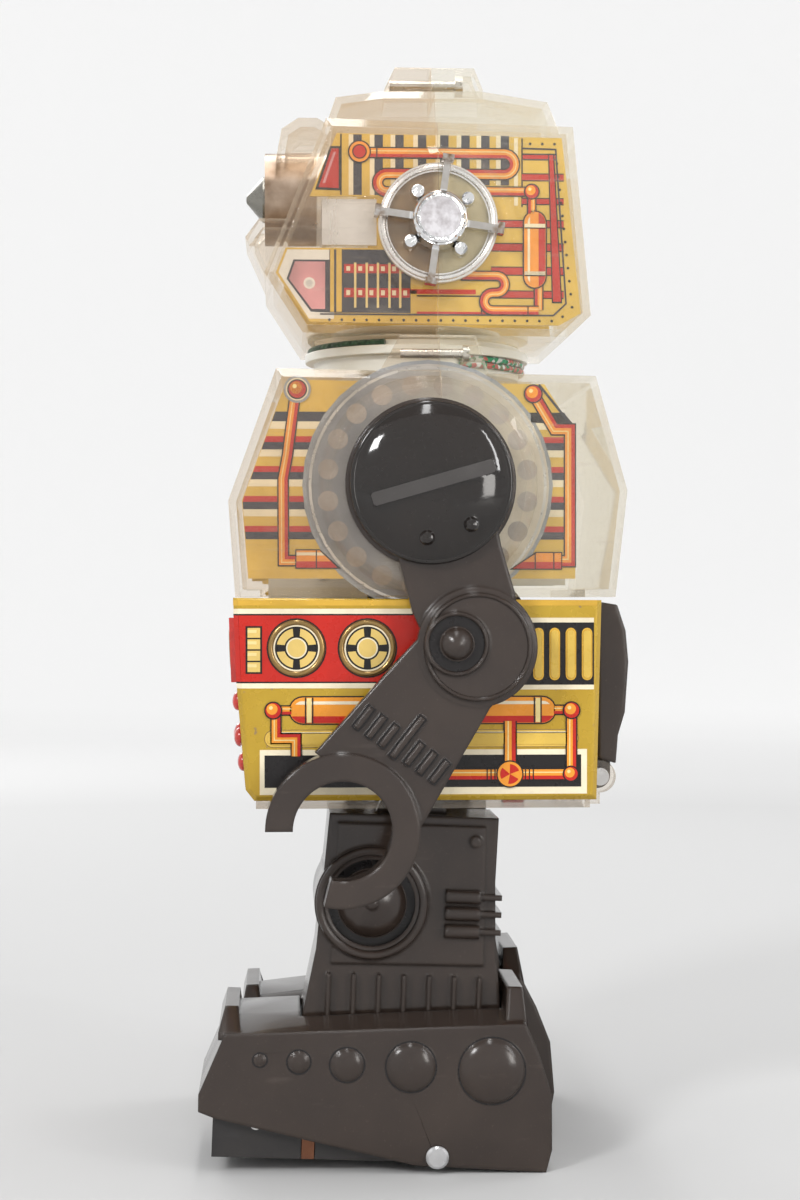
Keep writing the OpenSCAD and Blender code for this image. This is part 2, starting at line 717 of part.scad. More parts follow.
// Half-round clips on the rear edge of the leg
module leg_clips() {
    for (z = [58.8, 63.4, 67.8]) {
        translate([leg_out + leg_skin - 0.4, 9, z]) rotate([-90, 0, 0]) cylinder(h = 9, r = 1.8);
        translate([leg_out - 1, 18 - eps, z - 0.7]) cube([3, 5.6, 1.4]);
        translate([leg_in, 20, z - 0.7]) cube([leg_out - leg_in + 2, 3.6, 1.4]);
    }
}

// Height of the foot's seat under the leg at y
function seat_z(y) =
    let (a = leg_side[0], b = leg_side[1])
        a[1] + (b[1] - a[1]) * (y - a[0]) / (b[0] - a[0]);

module leg(side) {
    panel = [[-20, 49.5], [19.6, 50], [19, 85.9], [-19.4, 85.9]];
    drive_y = crank_at[0];
    drive_z = crank_at[1];
    color([0.22, 0.20, 0.19]) leg_place(side) difference() {
        union() {
            slab(leg_side, leg_in, leg_out);
            slab(panel, leg_in - 1, leg_out + 1);
            rod(knee, 14.8, leg_in - 2, leg_out + leg_skin);
            rod([16.3, 82.1], 1.5, leg_out, leg_out + 2.4);
            leg_clips();
            // fins at the ankle
            for (y = [-20.4 : 6.5 : 18.8])
                translate([leg_out - eps, y - 0.5, seat_z(y) + 0.1]) cube([2.4, 1, 47 - seat_z(y)]);
            // drive tang: up through the base tray to the hip, and forward to the crank
            slab([[-10, 86], [10, 86], [6.6, hip_z], [4, 103], [-9, 103.6], [-15, 112], [-26, 100.5],
                [-6.6, 95]], tang_in, tang_out);
            rod([0, hip_z], 6.6, tang_in, tang_out);
            rod([drive_y, drive_z], 9.6, tang_in, tang_out);
        }
        rod([0, hip_z], 2 + run, 0, 60);
        rod([drive_y, drive_z], 6.4, 0, 60);
        // recessed ring of the knee, both sides
        for (x = [leg_in - leg_skin - 1, leg_out + leg_skin - 2.6]) difference() {
            rod(knee, 11.2, x, x + 3.6);
            rod(knee, 9, x - 1, x + 5);
        }
        // hollow of the leg, open below
        difference() {
            slab(inset(leg_side, 2), leg_in + 2, leg_out - 2);
            translate([0, -40, 80]) cube([60, 80, 20]);
        }
        for (y = screw_ys) translate([screw_x, y, 30]) cylinder(h = 12, r = 1.3);
    }
    color([0.22, 0.20, 0.19]) leg_place(side) difference() {
        for (y = screw_ys) translate([screw_x, y, 37.4]) cylinder(h = 44, r = 3);
        for (y = screw_ys) translate([screw_x, y, 30]) cylinder(h = 20, r = 1.3);
    }
}

module leg_left() leg(1);
module leg_right() leg(-1);

// Toe and heel bumpers: a ridge with sloping ends across the foot
module bumper(y0, y1, y2, base_z, top_z) {
    hull() {
        translate([foot_in + 1, y0, base_z]) cube([foot_out - foot_in - 2, y1 - y0, 2]);
        translate([foot_in + 7, y0 + y2, top_z - 0.2]) cube([foot_out - foot_in - 16, y1 - y0 - 2, 0.2]);
    }
}

// Flat seat in the foot's roof that the leg stands in
module leg_seat() {
    seat = [leg_side[0] + [-0.3, -0.1], leg_side[1] + [0.3, -0.1], [24.7, 60], [-27.3, 60]];
    slab(seat, leg_in - 1.2, leg_out + 2.6);
}

module foot_shell(side) {
    color([0.22, 0.20, 0.19]) leg_place(side) difference() {
        union() {
            hull() {
                slab(foot_side, foot_in, foot_out);
                slab(foot_top, foot_in + 7, foot_out - 14);
            }
            bumper(-48, -42.6, 1.4, 31, 38.4);
            bumper(24.6, 30.6, 1, 34, 45.4);
            for (dome = foot_domes)
                turned([dome[0], dome[1]], [[0, foot_out - 1], [dome[2], foot_out - 1],
                    for (a = [0 : 15 : 90]) [dome[2] * cos(a), foot_out + 0.3 * dome[2] * sin(a)]]);
        }
        // hollow, open below
        hull() {
            slab(inset(foot_side, foot_wall), foot_in + foot_wall, foot_out - foot_wall);
            slab(inset(foot_top, 2 * foot_wall), foot_in + 8, foot_out - 15);
        }
        slab([[-48.8, -5], [34.2, -5], [34.2, 6], [-48.8, 14.6]], foot_in + foot_wall, foot_out - foot_wall);
        leg_seat();
        for (y = screw_ys) translate([screw_x, y, 20]) cylinder(h = 30, r = 1.6);
        rod([rear_axle_y, roller_r + 0.3], 1.5 + run, 0, 60);
    }
    // screw bosses under the roof
    color([0.22, 0.20, 0.19]) leg_place(side) difference() {
        for (y = screw_ys) translate([screw_x, y, boss_z]) cylinder(h = 9, r = 4.4);
        leg_seat();
        for (y = screw_ys) translate([screw_x, y, boss_z - 1]) cylinder(h = 20, r = 1.6);
    }
}

module foot_shell_left() foot_shell(1);
module foot_shell_right() foot_shell(-1);

// Pressed metal tray under the foot, with slots for the wheel, the roller and the pawl
module sole_tray(side) {
    color([0.16, 0.16, 0.17]) leg_place(side) difference() {
        slab(tray_side, tray_in, tray_out);
        slab([[-47.8, 1.7], [30.2, 1.7], [30.2, 20], [-47.8, 20]], tray_in + 0.8, tray_out - 0.8);
        translate([20, wheel_y - 9, -5]) cube([14, 18, 10]);
        translate([tray_in + 2, rear_axle_y - 5, -5]) cube([tray_out - tray_in - 4, 10, 8.6]);
        translate([tray_out - 0.9, -26, -5]) cube([2, 3.6, 14]);
        translate([tray_out - 2, -26, -5]) cube([4, 3.6, 7]);
        rod([wheel_y, wheel_r], 1.5, 0, 60);
        rod([rear_axle_y, roller_r + 0.3], 1.5 + run, 0, 60);
    }
}

module sole_tray_left() sole_tray(1);
module sole_tray_right() sole_tray(-1);

module front_axle(side) {
    color("silver") leg_place(side) rod([wheel_y, wheel_r], 1.5, tray_in - 0.6, tray_out + 0.6);
}

module front_axle_left() front_axle(1);
module front_axle_right() front_axle(-1);

module front_wheel(side) {
    color([0.08, 0.08, 0.08]) leg_place(side)
        turned([wheel_y, wheel_r], [[1.5 + run, 22], [3.5, 22], [3.5, 23], [wheel_r - 2, 23],
            [wheel_r - 2, 22], [wheel_r, 22.6], [wheel_r, 31.4], [wheel_r - 2, 32], [wheel_r - 2, 31],
            [3.5, 31], [3.5, 32], [1.5 + run, 32]]);
}

module front_wheel_left() front_wheel(1);
module front_wheel_right() front_wheel(-1);

// Rear axle with two small rollers and a silver cap on its outer end
module rear_axle(side) {
    color([0.8, 0.8, 0.8]) leg_place(side)
        turned([rear_axle_y, roller_r + 0.3], [[0, foot_in - 1], [2.2, foot_in - 1], [2.2, foot_in - 0.2],
            [1.5, foot_in - 0.2], [1.5, 13], [roller_r, 13], [roller_r, 17], [1.5, 17], [1.5, 37],
            [roller_r, 37], [roller_r, 41], [1.5, 41], [1.5, foot_out + 0.3], [2.9, foot_out + 0.3],
            [2.9, foot_out + 1], [2.3, foot_out + 1.6], [0, foot_out + 1.6]]);
}

module rear_axle_left() rear_axle(1);
module rear_axle_right() rear_axle(-1);

// Copper spring pawl that lets the foot roll only forwards
module ratchet_pawl(side) {
    color([0.6, 0.32, 0.2]) leg_place(side)
    {
        translate([tray_out - 0.7, -25.8, 0.9]) cube([0.6, 3.2, 7.9]);
        translate([tray_out - 5, -25.8, 8.2]) cube([4.9, 3.2, 0.6]);
        translate([tray_out - 5, -25.8, 8.2]) cube([3, 14, 0.6]);
    }
}

module ratchet_pawl_left() ratchet_pawl(1);
module ratchet_pawl_right() ratchet_pawl(-1);

module foot_screws(side) {
    color("silver") leg_place(side) for (y = screw_ys) translate([screw_x, y, boss_z]) {
        translate([0, 0, -0.1]) cylinder(h = 18, r = 1.3);
        translate([0, 0, -1.6]) cylinder(h = 1.6, r = 2.6);
    }
}

module foot_screws_left() foot_screws(1);
module foot_screws_right() foot_screws(-1);

head_shell_front();
head_shell_rear();
head_panel_left();
head_panel_right();
lamp_housing();
nose_cone();
head_bulb();
head_screw();
ear_dish_left();
ear_dish_right();
ear_spinner_left();
ear_spinner_right();
neck_collar();
neck_wires();
chest_shell_front();
chest_shell_rear();
chest_panel_left();
chest_panel_right();
shoulder_screws();
shoulder_axles();
gear_frame();
gear_shafts();
motor();
motor_pinion();
first_gear();
second_gear();
third_gear();
crank_shaft();
waist_body();
base_tray();
front_bezel();
front_lenses();
battery_box();
battery_cells();
battery_contacts();
battery_cover();
cover_hinge_pin();
switch_slider();
hip_shaft();
arm_left();
arm_right();
shoulder_cap_left();
shoulder_cap_right();
leg_left();
leg_right();
foot_shell_left();
foot_shell_right();
sole_tray_left();
sole_tray_right();
front_wheel_left();
front_wheel_right();
front_axle_left();
front_axle_right();
rear_axle_left();
rear_axle_right();
ratchet_pawl_left();
ratchet_pawl_right();
foot_screws_left();
foot_screws_right();
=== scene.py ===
import math

import bpy
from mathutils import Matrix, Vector


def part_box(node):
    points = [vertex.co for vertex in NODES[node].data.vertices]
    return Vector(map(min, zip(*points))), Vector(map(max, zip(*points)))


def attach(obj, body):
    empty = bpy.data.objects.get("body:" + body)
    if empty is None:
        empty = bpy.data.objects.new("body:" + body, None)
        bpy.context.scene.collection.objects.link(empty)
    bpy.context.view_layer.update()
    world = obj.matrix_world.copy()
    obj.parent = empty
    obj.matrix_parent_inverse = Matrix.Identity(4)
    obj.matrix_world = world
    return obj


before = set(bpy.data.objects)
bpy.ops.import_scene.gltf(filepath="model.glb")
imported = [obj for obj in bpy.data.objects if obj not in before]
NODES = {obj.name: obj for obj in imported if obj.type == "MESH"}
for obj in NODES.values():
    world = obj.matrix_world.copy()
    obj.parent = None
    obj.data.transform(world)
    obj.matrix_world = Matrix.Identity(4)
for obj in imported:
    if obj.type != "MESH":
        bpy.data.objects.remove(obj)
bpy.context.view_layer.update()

ENDS = ("left", "right")

# Lengths are in millimetres and places are (y, z), with z measured before the robot's standing lift
MM = 1000.0
WAIST_BOTTOM = 93.0
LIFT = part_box("waist_body")[0].z * MM - WAIST_BOTTOM
LAYER = 0.05  # thickness of one printed layer
EDGE = 1.2  # chamfer round the tin waist
EAR = (6.0, 241.7)
SHOULDER = (3.0, 173.4)
ELBOW = (14.4, 132.3)
ELBOW_RING = (9.1, 133.1)
HIP = (0.0, 98.0)
KNEE = (-10.0, 65.5)

# y, z and radius of each dome along the side of a foot
FOOT_DOMES = ((-37.2, 26.5, 1.6), (-27.4, 26.3, 2.8), (-15.2, 25.9, 4.2), (1.0, 25.8, 6.2),
              (21.6, 25.4, 8.3))

# Angles in degrees: how far the ear ornament is turned, how far the right arm stands back, how far
# each leg is from upright, and how far the forearm's ribs lean
EAR_TURN = 8.0
RIGHT_ARM_BACK = 14.0
LEG_PHASE = 2.2
FORE_LEAN = 38.0


# ---- materials ----

class Shader:
    """A node-based material with a few shorthands for the patterns used below."""

    def __init__(self, name):
        self.mat = bpy.data.materials.new(name)
        self.mat.use_nodes = True
        self.nodes = self.mat.node_tree.nodes
        self.links = self.mat.node_tree.links
        self.bsdf = self.nodes["Principled BSDF"]
        self.out = self.nodes["Material Output"]
        self.coords = self.nodes.new("ShaderNodeTexCoord").outputs["Object"]

    def link(self, a, b):
        self.links.new(a, b)

    def noise(self, scale, detail=4.0, stretch=None):
        """Noise with its scale given in features per metre."""
        tex = self.nodes.new("ShaderNodeTexNoise")
        tex.inputs["Scale"].default_value = scale
        tex.inputs["Detail"].default_value = detail
        source = self.coords
        if stretch:
            mapping = self.nodes.new("ShaderNodeMapping")
            mapping.inputs["Scale"].default_value = stretch
            self.link(source, mapping.inputs["Vector"])
            source = mapping.outputs["Vector"]
        self.link(source, tex.inputs["Vector"])
        return tex.outputs["Fac"]

    def between(self, fac, low, high, out_low, out_high):
        """fac mapped from low..high to out_low..out_high and clamped."""
        node = self.nodes.new("ShaderNodeMapRange")
        node.inputs["From Min"].default_value = low
        node.inputs["From Max"].default_value = high
        node.inputs["To Min"].default_value = out_low
        node.inputs["To Max"].default_value = out_high
        self.link(fac, node.inputs["Value"])
        return node.outputs["Result"]

    def mix(self, fac, a, b):
        """Colour mixed from a to b; each is a colour or a socket."""
        node = self.nodes.new("ShaderNodeMix")
        node.data_type = "RGBA"
        self.link(fac, node.inputs["Factor"])
        colour_a, colour_b, colour_out = node.inputs[6], node.inputs[7], node.outputs[2]
        for value, socket in ((a, colour_a), (b, colour_b)):
            if isinstance(value, tuple):
                socket.default_value = (*value, 1.0)
            else:
                self.link(value, socket)
        return colour_out

    def bump(self, fac, strength, distance, edge=0.0):
        """Fine relief; edge is the radius in mm to which sharp edges look rolled over."""
        node = self.nodes.new("ShaderNodeBump")
        if edge:
            rolled = self.nodes.new("ShaderNodeBevel")
            rolled.samples = 6
            rolled.inputs["Radius"].default_value = edge / MM
            self.link(rolled.outputs["Normal"], node.inputs["Normal"])
        node.inputs["Strength"].default_value = strength
        node.inputs["Distance"].default_value = distance
        self.link(fac, node.inputs["Height"])
        self.link(node.outputs["Normal"], self.bsdf.inputs["Normal"])

    def position(self, axis):
        split = self.nodes.new("ShaderNodeSeparateXYZ")
        self.link(self.coords, split.inputs["Vector"])
        return split.outputs[axis]

    def radius_from(self, y, z):
        """Distance from an axis along X, in metres."""
        near = self.nodes.new("ShaderNodeVectorMath")
        near.operation = "MULTIPLY"
        near.inputs[1].default_value = (0, 1, 1)
        self.link(self.coords, near.inputs[0])
        far = self.nodes.new("ShaderNodeVectorMath")
        far.operation = "DISTANCE"
        far.inputs[1].default_value = (0, y / MM, (z + LIFT) / MM)
        self.link(near.outputs["Vector"], far.inputs[0])
        return far.outputs["Value"]

    def math(self, operation, a, b):
        """a and b, each a socket or a number, joined and clamped to 0..1."""
        node = self.nodes.new("ShaderNodeMath")
        node.operation = operation
        node.use_clamp = True
        for value, socket in zip((a, b), node.inputs):
            if isinstance(value, float):
                socket.default_value = value
            else:
                self.link(value, socket)
        return node.outputs[0]

    def set(self, **values):
        for key, value in values.items():
            socket = self.bsdf.inputs[key.replace("_", " ")]
            if isinstance(value, tuple):
                socket.default_value = (*value, 1.0)
            elif isinstance(value, (int, float)):
                socket.default_value = value
            else:
                self.link(value, socket)


def clear_plastic(name, tint, body_tint, haze):
    """See-through styrene: milky where it turns away or is thick, with gloss, haze and fine scratches."""
    s = Shader(name)
    through = s.nodes.new("ShaderNodeBsdfTransparent")
    through.inputs["Color"].default_value = (*tint, 1.0)
    milk = s.nodes.new("ShaderNodeBsdfDiffuse")
    glow = s.nodes.new("ShaderNodeBsdfTranslucent")
    gloss = s.nodes.new("ShaderNodeBsdfGlossy")
    milk.inputs["Color"].default_value = (*body_tint, 1.0)
    glow.inputs["Color"].default_value = (*body_tint, 1.0)
    gloss.inputs["Roughness"].default_value = 0.05
    gloss.inputs["Color"].default_value = (1.0, 0.98, 0.95, 1.0)
    weight = s.nodes.new("ShaderNodeLayerWeight")
    weight.inputs["Blend"].default_value = 0.5
    facing = weight.outputs["Facing"]
    clouds = s.between(s.noise(60.0, 5.0), 0.35, 0.75, haze * 0.6, haze * 1.7)
    scratches = s.between(s.noise(900.0, 3.0, (1.0, 0.08, 1.0)), 0.62, 0.72, 0.0, 0.10)
    thick = s.between(facing, 0.35, 1.0, 0.0, 0.45)
    body = s.nodes.new("ShaderNodeMixShader")
    body.inputs["Fac"].default_value = 0.5
    s.link(milk.outputs[0], body.inputs[1])
    s.link(glow.outputs[0], body.inputs[2])
    first = s.nodes.new("ShaderNodeMixShader")
    s.link(s.math("ADD", s.math("ADD", clouds, thick), scratches), first.inputs["Fac"])
    s.link(through.outputs[0], first.inputs[1])
    s.link(body.outputs[0], first.inputs[2])
    second = s.nodes.new("ShaderNodeMixShader")
    s.link(s.between(s.math("POWER", facing, 4.0), 0.0, 1.0, 0.04, 0.6), second.inputs["Fac"])
    s.link(first.outputs[0], second.inputs[1])
    s.link(gloss.outputs[0], second.inputs[2])
    s.link(second.outputs[0], s.out.inputs["Surface"])
    s.nodes.remove(s.bsdf)
    return s.mat


def moulded(name, light, dark, rough_low, rough_high, grain=0.1, edge=0.0):
    """Glossy moulded plastic with cloudy tone, smudges and a faint orange-peel surface."""
    s = Shader(name)
    tone = s.mix(s.between(s.noise(45.0, 5.0), 0.35, 0.7, 0.0, 1.0), dark, light)
    dust = s.between(s.noise(1500.0, 2.0), 0.66, 0.78, 0.0, 0.3)
    pale = tuple(min(1.0, c * 1.6 + 0.02) for c in light)
    scuffs = s.between(s.noise(500.0, 4.0, (1.0, 0.10, 0.5)), 0.66, 0.76, 0.0, 0.3)
    s.set(Base_Color=s.mix(scuffs, s.mix(dust, tone, pale), pale))
    s.set(Roughness=s.between(s.noise(70.0, 3.0), 0.25, 0.8, rough_low, rough_high))
    s.set(Specular_IOR_Level=0.5)
    s.bump(s.noise(420.0, 2.0), grain, 0.0002, edge)
    return s.mat


def metal(name, light, dark, rough_low, rough_high, stretch=None, scale=220.0):
    """Bare or plated metal with tarnish, and brush marks if stretch is given."""
    s = Shader(name)
    s.set(Base_Color=s.mix(s.between(s.noise(90.0, 6.0), 0.4, 0.72, 0.0, 1.0), light, dark))
    s.set(Metallic=1.0)
    s.set(Roughness=s.between(s.noise(scale, 5.0, stretch), 0.3, 0.7, rough_low, rough_high))
    s.bump(s.noise(scale * 4.0, 2.0, stretch), 0.08, 0.0001)
    return s.mat


def ink(name, colour, rough=0.3, metallic=0.0, spread=0.12):
    """Printed lacquer on tin: slightly uneven colour, fine grain and a varnish."""
    s = Shader(name)
    dark = tuple(c * (1.0 - spread) for c in colour)
    light = tuple(min(1.0, c * (1.0 + spread)) for c in colour)
    cloud = s.mix(s.between(s.noise(70.0, 4.0), 0.35, 0.65, 0.0, 1.0), dark, light)
    grain = s.between(s.noise(2600.0, 2.0), 0.58, 0.72, 0.0, 0.3)
    s.set(Base_Color=s.mix(grain, cloud, dark))
    s.set(Metallic=metallic)
    s.set(Roughness=s.between(s.noise(300.0, 5.0), 0.3, 0.75, rough * 0.7, rough * 1.4))
    s.set(Specular_IOR_Level=0.3, Coat_Weight=0.1, Coat_Roughness=0.1)
    return s.mat


YELLOW = (0.66, 0.44, 0.08)
LITHO = {
    "gold": ink("litho_gold", (0.72, 0.43, 0.06), 0.22, 0.35),
    "yellow": ink("litho_yellow", YELLOW),
    "bronze": ink("litho_bronze_and_painted_shade", (0.30, 0.19, 0.07), 0.2, 0.7),
    "amber": ink("litho_amber", (0.70, 0.50, 0.15)),
    "straw": ink("litho_straw", (0.80, 0.64, 0.28)),
    "pale": ink("litho_pale_and_painted_highlight", (0.80, 0.71, 0.52)),
    "red": ink("litho_red", (0.50, 0.018, 0.010)),
    "orange": ink("litho_orange", (0.80, 0.30, 0.03)),
    "navy": ink("litho_navy", (0.035, 0.035, 0.055)),
    "black": ink("litho_black_and_painted_shade", (0.012, 0.010, 0.010)),
    "pink": ink("litho_pink_and_painted_glare", (0.62, 0.30, 0.33), 0.35, 0.0, 0.3),
    "slate": ink("litho_slate", (0.34, 0.36, 0.39), 0.25, 0.2, 0.2),
    "peach": ink("litho_peach", (0.40, 0.36, 0.34), 0.3, 0.0, 0.2),
    "silver": ink("litho_silver_and_painted_highlight", (0.62, 0.61, 0.60), 0.3, 0.7, 0.2),
    "white": ink("litho_white_painted_glare", (0.78, 0.76, 0.72), 0.3, 0.0, 0.1),
}


def ear_dish_material():
    """Cream dish, stained brown in its front half, with a near-white band painted round its rim as a
    highlight.
    """
    s = Shader("ear_dish")
    rear = s.between(s.position("Y"), 0.0045, 0.0075, 0.0, 1.0)
    stain = s.between(s.noise(240.0, 5.0), 0.3, 0.7, 0.0, 1.0)
    brown = s.mix(stain, (0.22, 0.14, 0.07), (0.36, 0.25, 0.14))
    cream = s.mix(stain, (0.56, 0.48, 0.30), (0.70, 0.62, 0.42))
    floor = s.mix(rear, brown, cream)
    # painted highlight: a near-white band round the dish's rim
    rim = s.between(s.radius_from(*EAR), 0.0134, 0.0137, 0.0, 1.0)
    s.set(Base_Color=s.mix(rim, floor, (0.80, 0.80, 0.78)))
    s.set(Roughness=0.28, Coat_Weight=0.3)
    return s.mat


def hub_material():
    """Plated ear ornament: blotchy face on its hub, bright studs, and lugs dulled by age."""
    s = Shader("ear_plating")
    radius = s.radius_from(*EAR)
    face = s.between(radius, 0.0050, 0.0054, 1.0, 0.0)
    blotch = s.between(s.noise(520.0, 6.0), 0.35, 0.65, 0.0, 1.0)
    dull = s.mix(blotch, (0.50, 0.47, 0.48), (0.74, 0.72, 0.74))
    centred = s.nodes.new("ShaderNodeVectorMath")
    centred.operation = "SUBTRACT"
    centred.inputs[1].default_value = (0.0, EAR[0] / MM, (EAR[1] + LIFT) / MM)
    s.link(s.coords, centred.inputs[0])
    turned = s.nodes.new("ShaderNodeVectorRotate")
    turned.rotation_type = "X_AXIS"
    turned.inputs["Angle"].default_value = math.radians(EAR_TURN)
    s.link(centred.outputs["Vector"], turned.inputs["Vector"])
    split = s.nodes.new("ShaderNodeSeparateXYZ")
    s.link(turned.outputs["Vector"], split.inputs["Vector"])
    across = s.math("MINIMUM", s.math("ABSOLUTE", split.outputs["Y"], 0.0),
                    s.math("ABSOLUTE", split.outputs["Z"], 0.0))
    lug = s.math("MULTIPLY", s.between(across, 0.0017, 0.0022, 1.0, 0.0),
                 s.between(radius, 0.0076, 0.0080, 0.0, 1.0))
    aged = s.mix(s.between(radius, 0.0135, 0.0150, 0.0, 1.0), (0.52, 0.49, 0.45), (0.26, 0.17, 0.10))
    plated = s.mix(lug, (0.78, 0.78, 0.78), s.mix(blotch, aged, (0.58, 0.55, 0.52)))
    s.set(Base_Color=s.mix(face, plated, dull), Metallic=1.0)
    s.set(Roughness=s.between(face, 0.0, 1.0, 0.10, 0.42))
    s.bump(s.noise(700.0, 4.0), 0.15, 0.0003)
    return s.mat


def lamp_material():
    """Browned lamp cup in front, bright brushed bracket behind it."""
    s = Shader("lamp_plate")
    stain = s.between(s.noise(150.0, 6.0), 0.35, 0.7, 0.0, 1.0)
    cup = s.mix(stain, (0.44, 0.34, 0.26), (0.22, 0.15, 0.10))
    bracket = s.mix(stain, (0.88, 0.88, 0.90), (0.72, 0.71, 0.72))
    s.set(Base_Color=s.mix(s.between(s.position("Y"), -0.0252, -0.0248, 0.0, 1.0), cup, bracket))
    s.set(Metallic=0.85)
    s.set(Roughness=s.between(s.noise(220.0, 5.0, (1.0, 1.0, 0.12)), 0.3, 0.7, 0.25, 0.42))
    return s.mat


def annulus_material():
    """Ring printed under the shoulder's clear boss: blue-grey in front, warming to cream behind."""
    s = Shader("litho_annulus")
    rear = s.between(s.position("Y"), -0.012, 0.026, 0.0, 1.0)
    cloud = s.between(s.noise(90.0, 4.0), 0.35, 0.7, 0.0, 1.0)
    front_tone = s.mix(cloud, (0.22, 0.23, 0.26), (0.34, 0.35, 0.38))
    rear_tone = s.mix(cloud, (0.50, 0.44, 0.36), (0.66, 0.60, 0.50))
    s.set(Base_Color=s.mix(rear, front_tone, rear_tone), Roughness=0.3, Metallic=0.1)
    return s.mat


def wire_material():
    """Cloth covering: dark green in front, mixed coloured threads behind."""
    s = Shader("wire_cloth")
    cells = s.nodes.new("ShaderNodeTexVoronoi")
    cells.inputs["Scale"].default_value = 900.0
    s.link(s.coords, cells.inputs["Vector"])
    pick = s.nodes.new("ShaderNodeSeparateColor")
    s.link(cells.outputs["Color"], pick.inputs["Color"])
    green = s.mix(pick.outputs[0], (0.008, 0.03, 0.012), (0.04, 0.10, 0.05))
    threads = s.mix(s.between(pick.outputs[1], 0.4, 0.6, 0.0, 1.0), (0.03, 0.25, 0.12), (0.45, 0.12, 0.10))
    threads = s.mix(s.between(pick.outputs[2], 0.7, 0.75, 0.0, 1.0), threads, (0.6, 0.62, 0.6))
    s.set(Base_Color=s.mix(s.between(s.position("Y"), -0.001, 0.001, 0.0, 1.0), green, threads))
    s.set(Roughness=0.85, Sheen_Weight=0.3)
    s.bump(cells.outputs["Distance"], 0.6, 0.0006)
    return s.mat


def tin_material():
    """The waist's lithographed yellow, with rubbed edges and small chips."""
    s = Shader("litho_body")
    cloudy = s.between(s.noise(40.0, 5.0), 0.3, 0.7, 0.0, 1.0)
    cloud = s.mix(cloudy, (0.44, 0.27, 0.018), (0.53, 0.35, 0.035))
    chips = s.between(s.noise(330.0, 8.0), 0.69, 0.72, 0.0, 1.0)
    s.set(Base_Color=s.mix(chips, cloud, (0.30, 0.20, 0.09)))
    s.set(Roughness=s.between(s.noise(200.0, 4.0), 0.3, 0.7, 0.16, 0.34))
    s.set(Metallic=0.15, Specular_IOR_Level=0.35, Coat_Weight=0.2, Coat_Roughness=0.08)
    s.bump(s.noise(500.0, 2.0), 0.03, 0.0001, 1.0)
    return s.mat


def cell_material():
    """Battery jacket with a plain band round one end."""
    s = Shader("cell_jacket")
    band = s.between(s.position("Y"), 0.030, 0.0305, 0.0, 1.0)
    s.set(Base_Color=s.mix(band, (0.03, 0.07, 0.22), (0.62, 0.50, 0.25)))
    s.set(Roughness=s.between(s.noise(200.0), 0.3, 0.7, 0.25, 0.45), Metallic=0.4)
    return s.mat


def lens_material(name, colour):
    """Red moulding, lighter in patches: a glow in its depth painted into the colour."""
    s = Shader(name)
    # painted glow: noise mixes darker and lighter red
    edge = s.between(s.noise(260.0, 3.0), 0.3, 0.7, 0.0, 1.0)
    s.set(Base_Color=s.mix(edge, tuple(c * 0.7 for c in colour), colour))
    s.set(Roughness=0.12, Coat_Weight=0.6, Coat_Roughness=0.05)
    return s.mat


def bulb_material():
    """Frosted glass with a faint warm glow."""
    s = Shader("bulb_glass")
    frost = s.between(s.noise(300.0), 0.3, 0.7, 0.0, 1.0)
    s.set(Base_Color=s.mix(frost, (0.9, 0.85, 0.7), (1.0, 0.97, 0.9)))
    s.set(Roughness=0.05, Transmission_Weight=0.6, Emission_Color=(1.0, 0.9, 0.7), Emission_Strength=0.1)
    return s.mat


MAT = {
    "smoky": clear_plastic("smoky_clear", (0.95, 0.92, 0.88), (0.78, 0.69, 0.56), 0.03),
    "pale_clear": clear_plastic("pale_clear", (0.97, 0.96, 0.93), (0.86, 0.82, 0.72), 0.03),
    "dark": moulded("dark_plastic", (0.040, 0.028, 0.022), (0.030, 0.021, 0.017), 0.11, 0.22, 0.04, 1.4),
    "cap": moulded("cap_plastic", (0.016, 0.012, 0.010), (0.010, 0.008, 0.007), 0.05, 0.12, 0.03),
    "sole": moulded("sole_metal", (0.018, 0.017, 0.018), (0.030, 0.026, 0.024), 0.25, 0.5, 0.3),
    "rubber": moulded("tyre_rubber", (0.020, 0.020, 0.020), (0.012, 0.012, 0.012), 0.55, 0.8, 0.6),
    "white": moulded("white_plastic", (0.80, 0.79, 0.74), (0.68, 0.66, 0.58), 0.25, 0.4),
    "red": lens_material("red_moulding", (0.62, 0.025, 0.015)),
    "yellow": moulded("gear_yellow", (0.80, 0.55, 0.10), (0.66, 0.42, 0.06), 0.3, 0.45),
    "blue": moulded("gear_blue", (0.05, 0.12, 0.35), (0.03, 0.08, 0.24), 0.3, 0.45),
    "black": moulded("black_plastic", (0.020, 0.020, 0.020), (0.012, 0.012, 0.012), 0.4, 0.6),
    "silver_plate": metal("silver_plate", (0.90, 0.90, 0.92), (0.74, 0.73, 0.74), 0.2, 0.36),
    "cone": metal("nose_plate", (0.26, 0.25, 0.22), (0.14, 0.12, 0.10), 0.16, 0.34),
    "lamp": lamp_material(),
    "annulus": annulus_material(),
    "rib": moulded("rib_plastic", (0.055, 0.050, 0.048), (0.035, 0.031, 0.029), 0.35, 0.5, 0.04),
    "steel": metal("bright_steel", (0.70, 0.69, 0.68), (0.48, 0.46, 0.44), 0.18, 0.36),
    "axle_end": metal("axle_end", (0.74, 0.74, 0.75), (0.52, 0.51, 0.50), 0.25, 0.42),
    "brass": metal("brass_bright", (0.72, 0.50, 0.20), (0.45, 0.28, 0.10), 0.2, 0.38),
    "copper": metal("copper_strip", (0.22, 0.10, 0.06), (0.10, 0.05, 0.035), 0.3, 0.5),
    "dish": ear_dish_material(),
    "hub": hub_material(),
    "wire": wire_material(),
    "tin": tin_material(),
    "cells": cell_material(),
    "bulb": bulb_material(),
}

